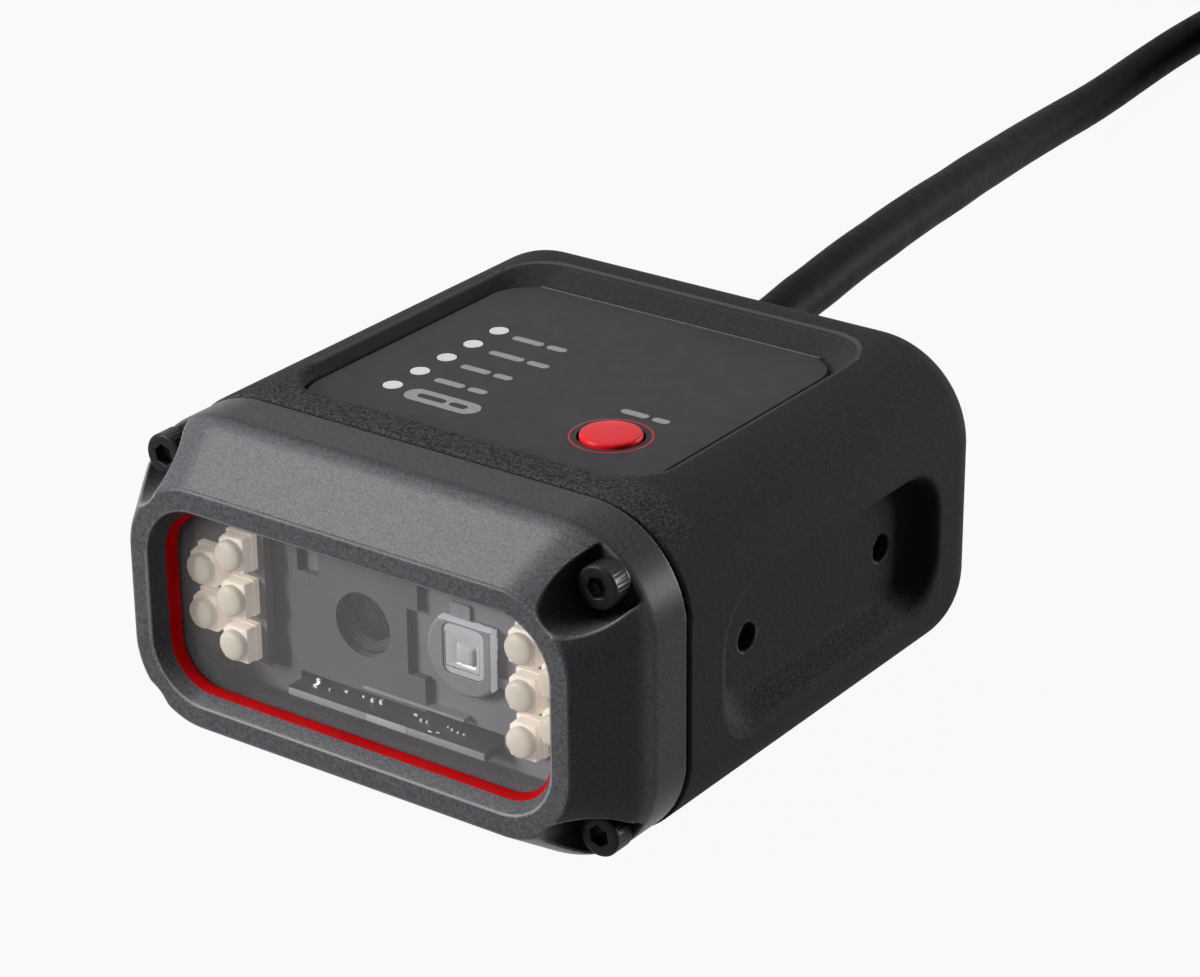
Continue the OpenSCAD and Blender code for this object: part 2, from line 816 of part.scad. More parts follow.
module aimer_holder() {
    color([0.88, 0.88, 0.86]) place() difference() {
        along_y(aimer_y, shoulder_y - aimer_y) translate([aimer_x, aimer_z]) {
            difference() {
                circle(d = aimer_d);
                translate([-aimer_d / 2, aimer_flat]) square(aimer_d);
            }
            translate([-aimer_tab_w / 2, 0]) square([aimer_tab_w, aimer_tab]);
        }
        along_y(aimer_y - 1, aimer_seat_y - aimer_y + 1) translate([aimer_x, aimer_z])
            rounded_rect(aimer_lens_w + fit, aimer_lens_h + fit, aimer_lens_r);
        rod_y(aimer_x, aimer_y - 1, aimer_z, aimer_led_d + 2 * fit, shoulder_y);
    }
}

module aimer_lens() {
    color([0.85, 0.9, 0.92, 0.5]) place() along_y(aimer_lens_y, aimer_lens_t)
        translate([aimer_x, aimer_z]) rounded_rect(aimer_lens_w, aimer_lens_h, aimer_lens_r);
}

module aimer_led() {
    front = aimer_seat_y + aimer_led_gap;
    back = shoulder_y + chassis_t;
    color([0.8, 0.5, 0.2]) place() {
        rod_y(aimer_x, front, aimer_z, aimer_led_d, back - front);
        rod_y(aimer_x, back, aimer_z, aimer_led_d + 2 * aimer_led_lip, aimer_led_t);
    }
}

module main_board() {
    color([0.1, 0.3, 0.18]) place() difference() {
        translate([0, 0, board_z]) linear_extrude(board_t) {
            translate([-tongue_hw, tongue_y]) square([2 * tongue_hw, board_y - tongue_y + eps]);
            translate([-board_hw, board_y]) square([2 * board_hw, board_l]);
        }
        for (x = [-1, 1], y = board_post_y) {
            translate([x * board_post_x, y, board_z - 1]) cylinder(d = board_screw_d + fit, h = board_t + 2);
        }
    }
}

module tongue_parts() {
    color([0.9, 0.9, 0.86]) place() for (p = smalls) {
        translate([p[0], tongue_y + small_in, board_top]) cube([p[1], p[2], small_h]);
    }
}

module board_chips() {
    color([0.06, 0.06, 0.065]) place() for (c = chips) {
        translate([c[0], board_y + c[1], board_top]) cube([c[2], c[3], c[4]]);
    }
}

module board_screws() {
    color([0.6, 0.61, 0.63]) place() for (x = [-1, 1], y = board_post_y) {
        translate([x * board_post_x, y, board_top]) cylinder(d = board_head_d, h = board_head_h);
        translate([x * board_post_x, y, board_top - board_screw_l])
            cylinder(d = board_screw_d, h = board_screw_l);
    }
}

module cable_header() {
    color([0.9, 0.88, 0.8]) place() translate([cable_x - header_w / 2, header_y - header_d / 2, board_top])
        cube([header_w, header_d, header_h]);
}

// tube through a list of points, with flat ends
module swept(p, d) {
    n = cable_sides;
    m = len(p);
    polyhedron([for (i = [0 : m - 1]) each ring(p, i, d / 2, n)], concat(
        [[for (k = [n - 1 : -1 : 0]) k]],
        [for (i = [0 : m - 2], k = [0 : n - 1])
            [i * n + k, i * n + (k + 1) % n, (i + 1) * n + (k + 1) % n, (i + 1) * n + k]],
        [[for (k = [0 : n - 1]) (m - 1) * n + k]]));
}

module inner_lead() {
    y0 = body_d - wall - gland_collar_t;
    y1 = header_y + header_d / 2;
    z1 = board_top + header_h / 2;
    color([0.1, 0.1, 0.1]) place() swept([[cable_x, y0, cable_z], [cable_x, y0 - lead_end, cable_z],
        [cable_x, blend(y0, y1, 0.4), blend(cable_z, z1, 0.2)],
        [cable_x, blend(y0, y1, 0.6), blend(cable_z, z1, 0.8)],
        [cable_x, y1 + lead_end, z1], [cable_x, y1, z1]], lead_d);
}

module cable_gland() {
    neck = gland_d / 2 - thread_fit;
    collar = gland_collar_d / 2;
    inside = -wall - gland_collar_t;
    color([0.06, 0.06, 0.06]) place() behind() turned_y(cable_x, 0, cable_z)
        polygon([[0, inside], [collar, inside], [collar, -wall],
            [neck, -wall], [neck, 0], [collar, 0], [collar, gland_collar_t],
            [neck, gland_collar_t + gland_slope], [boot_end_d / 2, boot_l], [0, boot_l]]);
}

module cable() {
    color([0.06, 0.06, 0.065]) place() behind() swept(route, cable_d);
}

module coil_section(grow) {
    translate([(coil_in + coil_out) / 2, coil_h / 2])
        rounded_rect(coil_out - coil_in + 2 * grow, coil_h + 2 * grow, coil_round + grow);
}

module at_coil() {
    translate([coil_at[0], coil_at[1], tie_t]) children();
}

module cable_coil() {
    color([0.06, 0.06, 0.065]) place() behind() at_coil() rotate_extrude() coil_section(0);
}

module coil_ties() {
    color([0.1, 0.1, 0.1]) place() behind() at_coil() for (a = tie_turns) {
        rotate([0, 0, a]) rotate_extrude(angle = tie_span) difference() {
            coil_section(tie_t);
            coil_section(0);
        }
    }
}

module cable_tail() {
    color([0.06, 0.06, 0.065]) place() behind() swept(tail, cable_d);
}

module plug_place() {
    behind() translate(plug_at) rotate([0, 0, 180]) children();
}

module connector_body() {
    neck = cable_d / 2 + plug_wall;
    r = plug_d / 2;
    step = plug_l - nut_l;
    color([0.08, 0.08, 0.085]) place() plug_place() turned_y(0, 0, 0)
        polygon([[0, 0], [neck, 0], [r - nut_c, plug_neck], [r, plug_neck + plug_rise], [r, step],
            [insert_d / 2, step], [insert_d / 2, plug_l], [0, plug_l]]);
}

module connector_nut() {
    r = nut_d / 2;
    bore = insert_d / 2 + fit;
    y0 = plug_l - nut_l;
    y1 = plug_l + nut_over;
    color([0.62, 0.62, 0.64]) place() plug_place() turned_y(0, 0, 0) polygon([[bore, y0], [r - nut_c, y0],
        [r, y0 + nut_c], [r, y1 - nut_c], [r - nut_c, y1], [bore, y1]]);
}

module connector_pins() {
    color([0.8, 0.65, 0.3]) place() plug_place() for (a = [45 : 90 : 315]) {
        rod_y(pin_out * cos(a), plug_l, pin_out * sin(a), pin_d, pin_l);
    }
}

front_bezel();
bezel_screws();
window_seal();
window();
housing_gasket();
main_housing();
top_label();
status_lights();
setup_button();
button_switch();
indicator_board();
indicator_leds();
indicator_screws();
optics_chassis();
left_led_board();
right_led_board();
left_leds();
right_leds();
imager_bracket();
lens_holder();
lens_barrel();
lens_glass();
image_sensor();
sensor_board();
aimer_holder();
aimer_lens();
aimer_led();
main_board();
tongue_parts();
board_chips();
board_screws();
cable_header();
inner_lead();
cable_gland();
cable();
cable_coil();
coil_ties();
cable_tail();
connector_body();
connector_nut();
connector_pins();
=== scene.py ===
import math
import bmesh
import bpy
import numpy as np
from mathutils import Matrix, Vector


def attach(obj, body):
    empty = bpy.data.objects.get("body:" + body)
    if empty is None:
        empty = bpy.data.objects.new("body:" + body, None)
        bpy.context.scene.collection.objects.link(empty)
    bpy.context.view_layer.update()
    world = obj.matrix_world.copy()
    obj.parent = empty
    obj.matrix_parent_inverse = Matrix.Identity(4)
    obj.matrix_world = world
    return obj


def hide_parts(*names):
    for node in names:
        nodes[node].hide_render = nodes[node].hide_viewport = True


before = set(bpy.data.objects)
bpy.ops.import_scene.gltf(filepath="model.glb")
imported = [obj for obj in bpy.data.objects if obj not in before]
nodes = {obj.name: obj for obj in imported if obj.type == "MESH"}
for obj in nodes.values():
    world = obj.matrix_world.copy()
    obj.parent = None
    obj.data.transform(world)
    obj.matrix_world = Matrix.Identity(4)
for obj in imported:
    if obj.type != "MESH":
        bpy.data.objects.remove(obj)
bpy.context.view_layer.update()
scene = bpy.context.scene
scene.view_settings.view_transform = "Standard"

# pieces are drawn in millimetres with the bezel's face at y = 0, then moved to the frame
mm = 0.001
faceY = -34.0
midZ = 18.0


def toFrame(points):
    return (np.asarray(points, float) + (0.0, faceY, 0.0)) * mm


def addObject(name, data):
    thing = bpy.data.objects.new(name, data)
    scene.collection.objects.link(thing)
    return thing


# camera

shot = dict(place=(0.20526, -0.27474, 0.17879), turn=35.899, rise=24.347, roll=-0.459,
            lens=109.68, sensor=36.0, clip=(0.01, 20))


def makeCamera(spec):
    turn, rise, roll = (math.radians(spec[k]) for k in ("turn", "rise", "roll"))
    back = Vector((math.sin(turn) * math.cos(rise), -math.cos(turn) * math.cos(rise), math.sin(rise)))
    right = Vector((math.cos(turn), math.sin(turn), 0))
    up = back.cross(right)
    side = right * math.cos(roll) + up * math.sin(roll)
    top = up * math.cos(roll) - right * math.sin(roll)
    data = bpy.data.cameras.new("camera")
    data.lens, data.sensor_width, data.sensor_fit = spec["lens"], spec["sensor"], "HORIZONTAL"
    data.clip_start, data.clip_end = spec["clip"]
    camera = addObject("camera", data)
    pose = Matrix((side, top, back)).transposed().to_4x4()
    pose.translation = spec["place"]
    camera.matrix_world = pose
    scene.camera = camera


makeCamera(shot)
print("camera set")


# cable: the solids' route, measured from the housing's back, with the coil 0.15 mm smaller in radius

cableSpec = dict(
    radius=3.0, backY=34.0, length=1.5,
    route=[(-14, 20, 18), (-14, 24, 18), (-14.2, 28, 18), (-14.7, 31.5, 17.9), (-15.4, 35, 17.8),
           (-16.2, 39, 17.7), (-17.1, 43.5, 17.4), (-18, 48, 17.2), (-19.3, 54, 16.8), (-20.6, 60, 16.3),
           (-21.9, 66, 15.7), (-23.3, 72, 15.1), (-24.7, 78, 14.4), (-26.2, 84, 13.6), (-28.9, 95, 12),
           (-31.8, 106, 10.4), (-34.8, 118, 8.6), (-37.5, 129, 7), (-39.8, 140, 5.6), (-41.6, 150, 4.5),
           (-42.8, 159.5, 3.8), (-43.9, 168.7, 3.4), (-44.8, 177, 3.3), (-45.4, 185, 3.4), (-45.7, 194, 3.7),
           (-45.85, 204, 3.9), (-45.85, 214, 4)],
    tail=[(37.9, 213.8, 10), (38, 206, 9.6), (38, 198, 8.8), (38, 190, 7.9), (38, 182, 7.3), (38, 176, 7.3)],
    coil=(-4.0, 230.0), turns=5.5, perTurn=24, radius0=41.85, height0=4.0,
    # the cable moves to its next lane between these turns: from, to, radius step, height step
    lanes=[(0.72, 1.0, -6, 0), (1.72, 2.0, -6, 0), (2.58, 2.86, 0, 6), (3.5, 3.78, 6, 0), (4.5, 4.78, 6, 0)])


def ease(t):
    t = min(max(t, 0.0), 1.0)
    return t * t * (3 - 2 * t)


def coilPoints(spec):
    points = []
    for i in range(int(spec["turns"] * spec["perTurn"]) + 1):
        t = i / spec["perTurn"]
        r, z = spec["radius0"], spec["height0"]
        for start, end, dr, dz in spec["lanes"]:
            share = ease((t - start) / (end - start))
            r, z = r + dr * share, z + dz * share
        a = math.radians(180 - 360 * t)
        points.append((spec["coil"][0] + r * math.cos(a), spec["coil"][1] + r * math.sin(a), z))
    return points


def makeCable(spec):
    points = spec["route"] + coilPoints(spec) + spec["tail"]
    points = [(x * mm, (y + spec["backY"]) * mm, z * mm) for x, y, z in points]
    data = bpy.data.curves.new("signalCable", "CURVE")
    data.dimensions, data.bevel_depth, data.bevel_resolution = "3D", 1.0, 7
    data.resolution_u, data.use_fill_caps = 4, True
    line = data.splines.new("BEZIER")
    line.bezier_points.add(len(points) - 1)
    for knot, p in zip(line.bezier_points, points):
        knot.co, knot.radius = p, spec["radius"] * mm
        knot.handle_left_type = knot.handle_right_type = "AUTO"
    return addObject("signalCable", data), points[0]


signalCable, cableExit = makeCable(cableSpec)
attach(signalCable, "reader")
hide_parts("cable", "cable_coil", "cable_tail")
print("cable laid")


# shader nodes: a socket takes a number, a colour or another node's output

def feed(tree, value, socket):
    if isinstance(value, tuple):
        socket.default_value = (*value, 1)
    elif isinstance(value, (int, float)):
        socket.default_value = value
    else:
        tree.links.new(value, socket)


def addNode(tree, kind, **inputs):
    node = tree.nodes.new("ShaderNode" + kind)
    for name, value in inputs.items():
        feed(tree, value, node.inputs[name])
    return node


def fillNode(tree, node, *values):
    # feeds the node's first sockets in their order
    for value, socket in zip(values, node.inputs):
        feed(tree, value, socket)
    return node.outputs[0]


def mathNode(tree, operation, *values):
    node = addNode(tree, "Math")
    node.operation = operation
    return fillNode(tree, node, *values)


def mixShaders(tree, share, first, second):
    return fillNode(tree, addNode(tree, "MixShader"), share, first, second)


def emptyTree(owner):
    owner.use_nodes = True
    owner.node_tree.nodes.clear()
    return owner.node_tree


def endTree(tree, kind, shader):
    tree.links.new(shader, addNode(tree, "Output" + kind).inputs[0])


# light, floor and background

studio = dict(sky=0.07, seen=1.0, white=(1.0, 1.0, 1.0), floorColour=(0.13, 0.13, 0.13), floorWhite=0.94,
              floorSize=6.0, floorZ=-0.0001)
lamps = [
    dict(name="frontBox", place=(-0.50, -0.62, 0.30), size=(0.34, 0.30), power=8.2, aim=(0.0, -0.01, 0.02)),
    dict(name="topBox", place=(-0.32, -0.115, 0.53), size=(0.24, 0.24), power=3.2, aim=(0.0, -0.03, 0.03)),
    dict(name="sideBox", place=(0.43, 0.72, 0.12), size=(0.35, 0.25), power=9.4, aim=(0.03, 0.0, 0.02)),
]


def seenWhite(tree):
    # 1 for what the camera, gloss and glass see, 0 for light
    rays = addNode(tree, "LightPath").outputs
    first = mathNode(tree, "MAXIMUM", rays["Is Camera Ray"], rays["Is Glossy Ray"])
    return mathNode(tree, "MAXIMUM", first, rays["Is Transmission Ray"])


def makeWorld(spec):
    scene.world = bpy.data.worlds.new("studio")
    tree = emptyTree(scene.world)
    soft, seen = (addNode(tree, "Background", Color=spec["white"], Strength=spec[key]).outputs[0]
                  for key in ("sky", "seen"))
    endTree(tree, "World", mixShaders(tree, seenWhite(tree), soft, seen))


def makeTable(spec):
    half = spec["floorSize"] / 2
    corners = [(-half, -half, 0), (half, -half, 0), (half, half, 0), (-half, half, 0)]
    mesh = bpy.data.meshes.new("tableTop")
    mesh.from_pydata(corners, [], [(0, 1, 2, 3)])
    floor = addObject("tableTop", mesh)
    floor.location.z = spec["floorZ"]
    mat = bpy.data.materials.new("paleTable")
    tree = emptyTree(mat)
    matt = addNode(tree, "BsdfDiffuse", Color=spec["floorColour"]).outputs[0]
    glow = addNode(tree, "Emission", Strength=spec["seen"]).outputs[0]
    share = mathNode(tree, "MULTIPLY", seenWhite(tree), spec["floorWhite"])
    endTree(tree, "Material", mixShaders(tree, share, matt, glow))
    mesh.materials.append(mat)


def hangLamp(lamp):
    data = bpy.data.lights.new(lamp["name"], "AREA")
    data.shape, data.energy = "RECTANGLE", lamp["power"]
    data.size, data.size_y = lamp["size"]
    box = addObject(lamp["name"], data)
    box.location = lamp["place"]
    way = Vector(lamp["aim"]) - Vector(lamp["place"])
    box.rotation_euler = way.to_track_quat("-Z", "Y").to_euler()


makeWorld(studio)
makeTable(studio)
for lamp in lamps:
    hangLamp(lamp)
print("studio lit")


# finishes: grain is a size or a list of (size, share), depth its height, both in mm

def newFinish(name):
    mat = bpy.data.materials.new(name)
    tree = emptyTree(mat)
    return mat, tree, addNode(tree, "TexCoord").outputs["Object"]


def grainNoise(tree, spot, size, detail=2.0, rough=0.55):
    node = addNode(tree, "TexNoise", Vector=spot, Scale=1 / (size * mm), Detail=detail, Roughness=rough)
    return node.outputs["Fac"]


def spread(tree, value, low, high, fromLow=0.3, fromHigh=0.7):
    return fillNode(tree, addNode(tree, "MapRange"), value, fromLow, fromHigh, low, high)


def mixColour(tree, share, first, second):
    node = addNode(tree, "Mix")
    node.data_type = "RGBA"
    for number, value in ((0, share), (6, first), (7, second)):
        feed(tree, value, node.inputs[number])
    return node.outputs[2]


def drawnOn(tree, name):
    # a value that the mesh carries at each point
    node = addNode(tree, "Attribute")
    node.attribute_name = name
    return node.outputs["Fac"]


def paint(name, dark, light, rough, grain, depth=0.004, swing=0.06, metal=0.0, specular=0.1, strength=0.5,
          mottle=6.0, glow=0.0, edgeHighlight=None, deep=None, pebble=None):
    mat, tree, spot = newFinish(name)
    skin = addNode(tree, "BsdfPrincipled", Metallic=metal)
    skin.inputs["Specular IOR Level"].default_value = specular
    endTree(tree, "Material", skin.outputs[0])
    cloud = spread(tree, grainNoise(tree, spot, mottle, 3.0), 0.0, 1.0)
    colour = mixColour(tree, cloud, dark, light)
    if edgeHighlight:  # painted highlight: edges a little lighter where the skin turns sharply
        highlightShare = spread(tree, drawnOn(tree, "edge"), 0.0, edgeHighlight["share"], edgeHighlight["low"], edgeHighlight["high"])
        colour = mixColour(tree, highlightShare, colour, edgeHighlight["colour"])
    if pebble:  # coarse cast grain; on the housing's lower shelf its paler tone is also painted light
        stones = spread(tree, grainNoise(tree, spot, pebble["size"], 1.0), 0.0, 1.0, *pebble["sharp"])
        deep = mixColour(tree, stones, pebble["dark"], pebble["light"])
    if deep:  # a second colour, without gloss, where the shade attribute is strong: painted shade in the bezel's pockets and its darker rim, the pebble grain on the housing
        shade = drawnOn(tree, "shade")
        colour = mixColour(tree, shade, colour, deep)
        tree.links.new(spread(tree, shade, specular, 0.0, 0.0, 1.0), skin.inputs["Specular IOR Level"])
    tree.links.new(colour, skin.inputs["Base Color"])
    # painted light: the finish glows though it is no lamp
    if glow:
        tree.links.new(colour, skin.inputs["Emission Color"])
        skin.inputs["Emission Strength"].default_value = glow
    uneven = grainNoise(tree, spot, mottle / 3)
    tree.links.new(spread(tree, uneven, rough - swing, rough + swing), skin.inputs["Roughness"])
    height = 0.0
    for size, share in grain if isinstance(grain, list) else [(grain, 1.0)]:
        height = mathNode(tree, "MULTIPLY_ADD", grainNoise(tree, spot, size), share, height)
    bump = addNode(tree, "Bump", Strength=strength, Distance=depth * mm, Height=height)
    tree.links.new(bump.outputs[0], skin.inputs["Normal"])
    return mat


def clearPlate(name, tint, veil, gloss, bend=1.5, haze=(0.8, 0.79, 0.81), smear=0.01, polish=0.02,
               smearSize=9.0, hazeSize=14.0, hazeSwing=0.2):
    # coated glass: light bends through it, with a trace of uneven haze and a weak reflection
    mat, tree, spot = newFinish(name)
    smeared = spread(tree, grainNoise(tree, spot, smearSize, 3.0), 0.0, smear)
    through = addNode(tree, "BsdfRefraction", Color=tint, IOR=bend, Roughness=smeared)
    shine = addNode(tree, "BsdfAnisotropic", Color=studio["white"], Roughness=polish)
    cloudy = addNode(tree, "BsdfDiffuse", Color=haze)
    free = addNode(tree, "BsdfTransparent", Color=tint)
    # lamp light and soft light pass straight through
    rays = addNode(tree, "LightPath").outputs
    lighting = mathNode(tree, "MAXIMUM", rays["Is Shadow Ray"], rays["Is Diffuse Ray"])
    hazeNoise = grainNoise(tree, spot, hazeSize, 4.0)
    hazeShare = spread(tree, hazeNoise, veil * (1 - hazeSwing), veil * (1 + hazeSwing))
    last = through.outputs[0]
    for share, layer in ((gloss, shine), (hazeShare, cloudy), (lighting, free)):
        last = mixShaders(tree, share, last, layer.outputs[0])
    endTree(tree, "Material", last)
    return mat


mouldGrain = [(0.3, 0.6), (1.0, 0.4)]
paints = dict(
    bezelPaint=dict(
        dark=(0.041, 0.0405, 0.0445), light=(0.099, 0.0975, 0.107), rough=0.34, specular=0.11,
        # deep: the colour of the painted shade in the screw pockets and of the darker rim
        grain=[(0.2, 0.6), (0.45, 0.4)], depth=0.016, strength=0.4, mottle=0.28, deep=(0.006, 0.006, 0.007),
        # painted highlight along the bezel's edges
        edgeHighlight=dict(share=0.6, colour=(0.28, 0.28, 0.29), low=1.2, high=4.0)),
    housingPaint=dict(
        dark=(0.0235, 0.0232, 0.0262), light=(0.0315, 0.0311, 0.0345), rough=0.8, specular=0.02,
        grain=[(0.34, 0.7), (0.8, 0.3)], depth=0.07, strength=0.75, mottle=0.5,
        # painted highlight along the housing's edges
        edgeHighlight=dict(share=0.5, colour=(0.10, 0.10, 0.105), low=0.9, high=2.6),
        pebble=dict(size=0.26, sharp=(0.38, 0.62), dark=(0.021, 0.021, 0.0225), light=(0.056, 0.055, 0.059))),
    blackScrew=dict(
        dark=(0.007, 0.007, 0.008), light=(0.013, 0.013, 0.014), rough=0.38, specular=0.12, metal=0.15,
        grain=0.12, depth=0.008, strength=0.3),
    steel=dict(
        dark=(0.30, 0.30, 0.315), light=(0.39, 0.39, 0.405), rough=0.32, specular=0.5, metal=1.0,
        grain=[(0.15, 0.5), (0.6, 0.5)], depth=0.01),
    # painted light: the seal glows a little to lighten its shaded side
    redSeal=dict(
        dark=(0.23, 0.0010, 0.0018), light=(0.28, 0.0016, 0.0028), rough=0.6, specular=0.03, glow=0.3,
        grain=0.3, depth=0.012),
    blackRubber=dict(
        dark=(0.0030, 0.0030, 0.0033), light=(0.0055, 0.0055, 0.006), rough=0.55, specular=0.02,
        grain=[(0.25, 0.5), (1.4, 0.5)], depth=0.02, strength=0.35),
    labelFilm=dict(
        dark=(0.0325, 0.0323, 0.0355), light=(0.0350, 0.0348, 0.0380), rough=0.5, specular=0.035,
        grain=0.18, depth=0.006, strength=0.3),
    printWhite=dict(
        dark=(0.185, 0.185, 0.19), light=(0.235, 0.235, 0.24), rough=0.55,
        grain=0.15, mottle=0.4),
    printRed=dict(dark=(0.27, 0.022, 0.03), light=(0.33, 0.030, 0.038), rough=0.5, grain=0.15),
    # painted highlight: the pale strip along the label's back edge
    labelBackGlint=dict(dark=(0.075, 0.075, 0.078), light=(0.10, 0.10, 0.104), rough=0.5, grain=0.15, mottle=0.4),
    buttonRed=dict(
        dark=(0.50, 0.0085, 0.0138), light=(0.57, 0.012, 0.0185), rough=0.34, specular=0.12,
        grain=0.4, depth=0.006),
    lightWhite=dict(dark=(0.45, 0.46, 0.47), light=(0.51, 0.52, 0.53), rough=0.3, specular=0.3, grain=0.3),
    darkPlastic=dict(
        dark=(0.014, 0.014, 0.016), light=(0.022, 0.022, 0.025), rough=0.5, specular=0.12,
        grain=mouldGrain, depth=0.02),
    greyPlastic=dict(
        dark=(0.095, 0.0905, 0.094), light=(0.106, 0.1015, 0.105), rough=0.6, specular=0.08,
        grain=mouldGrain, depth=0.001, strength=0.1),
    chassisGrey=dict(
        dark=(0.155, 0.149, 0.155), light=(0.18, 0.174, 0.18), rough=0.6, specular=0.06,
        grain=mouldGrain, depth=0.001, strength=0.1),
    palePlastic=dict(
        dark=(0.16, 0.158, 0.158), light=(0.20, 0.198, 0.196), rough=0.5,
        grain=0.4, depth=0.006),
    aimerWhite=dict(
        dark=(0.19, 0.187, 0.194), light=(0.22, 0.217, 0.225), rough=0.4, specular=0.15,
        grain=0.4, depth=0.002),
    # painted light: the aimer's flats glow though they are no lamp
    aimerRim=dict(
        dark=(0.30, 0.30, 0.315), light=(0.36, 0.36, 0.375), rough=0.35, specular=0.2, glow=0.9,
        grain=0.4, depth=0.002),
    barrelGrey=dict(
        dark=(0.055, 0.054, 0.056), light=(0.066, 0.065, 0.067), rough=0.5,
        grain=0.3, depth=0.002),
    aimerMilk=dict(
        dark=(0.45, 0.446, 0.458), light=(0.50, 0.496, 0.508), rough=0.2, specular=0.25,
        grain=0.5, depth=0.002),
    # painted light: the emitter packages glow though they are no lamps
    emitterCream=dict(
        dark=(0.64, 0.57, 0.482), light=(0.71, 0.634, 0.542), rough=0.45, specular=0.12, glow=0.38,
        grain=[(0.2, 0.5), (0.6, 0.5)], depth=0.006),
    # painted light: the emitter domes glow as well
    emitterDome=dict(
        dark=(0.44, 0.40, 0.32), light=(0.475, 0.433, 0.35), rough=0.4, specular=0.12, glow=0.4,
        grain=0.5),
    board=dict(
        dark=(0.030, 0.031, 0.030), light=(0.042, 0.043, 0.041), rough=0.45,
        grain=[(0.3, 0.4), (1.2, 0.6)], depth=0.006),
    boardEdge=dict(dark=(0.22, 0.22, 0.207), light=(0.26, 0.26, 0.245), rough=0.5, grain=0.2),
    boardTab=dict(dark=(0.33, 0.327, 0.322), light=(0.38, 0.377, 0.371), rough=0.45, grain=0.2),
    solder=dict(
        dark=(0.68, 0.68, 0.70), light=(0.85, 0.85, 0.86), rough=0.25, specular=0.5, metal=0.3,
        grain=0.2, depth=0.01),
    gold=dict(
        dark=(0.62, 0.43, 0.14), light=(0.74, 0.54, 0.20), rough=0.28, specular=0.5, metal=1.0,
        grain=0.2, depth=0.006),
)
glasses = dict(
    windowGlass=dict(tint=(0.97, 0.97, 0.975), veil=0.045, gloss=0.004),
    lensGlass=dict(tint=(0.4, 0.41, 0.45), veil=0.01, gloss=0.01),
)
finishes = {name: paint(name, **spec) for name, spec in paints.items()}
finishes.update({name: clearPlate(name, **spec) for name, spec in glasses.items()})

# the nodes of the solids that take each finish
finishNodes = dict(
    bezelPaint=["front_bezel"], blackScrew=["bezel_screws"], redSeal=["window_seal"], windowGlass=["window"],
    housingPaint=["main_housing"], labelFilm=["top_label"], lightWhite=["status_lights"],
    buttonRed=["setup_button"], chassisGrey=["optics_chassis"], greyPlastic=["imager_bracket"],
    lensGlass=["lens_glass"], aimerWhite=["aimer_holder"], aimerMilk=["aimer_lens"], solder=["tongue_parts"],
    gold=["connector_pins"], emitterCream=["left_leds", "right_leds"],
    steel=["indicator_screws", "board_screws", "connector_nut"],
    board=["indicator_board", "sensor_board", "main_board"],
    palePlastic=["indicator_leds", "left_led_board", "right_led_board", "aimer_led", "cable_header"],
    darkPlastic=["button_switch", "lens_holder", "lens_barrel", "image_sensor", "board_chips", "coil_ties",
                 "connector_body"],
    blackRubber=["housing_gasket", "inner_lead", "cable_gland", "cable", "cable_coil", "cable_tail"])
for finish, names in finishNodes.items():
    for name in names:
        nodes[name].data.materials.clear()
        nodes[name].data.materials.append(finishes[finish])
signalCable.data.materials.append(finishes["blackRubber"])
print("finishes mixed")


# a small solid modeller: fields are distances in millimetres, below zero inside

def meet(a, b):
    return np.maximum(a, b)


def roundMeet(a, b, r):
    u, v = np.maximum(a + r, 0), np.maximum(b + r, 0)
    return np.minimum(-r, np.maximum(a, b)) + np.sqrt(u * u + v * v)


def roundCut(a, b, r):
    return roundMeet(a, -b, r)


def roundedRect(u, v, halfU, halfV, r):
    p, q = np.abs(u) - (halfU - r), np.abs(v) - (halfV - r)
    over = np.sqrt(np.maximum(p, 0) ** 2 + np.maximum(q, 0) ** 2)
    return over + np.minimum(np.maximum(p, q), 0) - r


def rod(u, v, r):
    return np.sqrt(u * u + v * v) - r


def softLimit(t, top, k):
    # t, bending smoothly into top
    h = np.clip(0.5 + 0.5 * (top - t) / k, 0, 1)
    return top * (1 - h) + t * h - k * h * (1 - h)


def fieldSlope(field, p, d=0.02):
    x, y, z = p.T
    return np.stack([field(x + d, y, z) - field(x - d, y, z), field(x, y + d, z) - field(x, y - d, z),
                     field(x, y, z + d) - field(x, y, z - d)], 1) / (2 * d)


def pullToSkin(field, p, most):
    # moves points onto the field's zero surface
    slope = fieldSlope(field, p)
    step = field(*p.T) / np.maximum((slope ** 2).sum(1), 0.05)
    move = slope * step[:, None]
    far = np.maximum(np.linalg.norm(move, axis=1) / most, 1)
    return p - move / far[:, None]


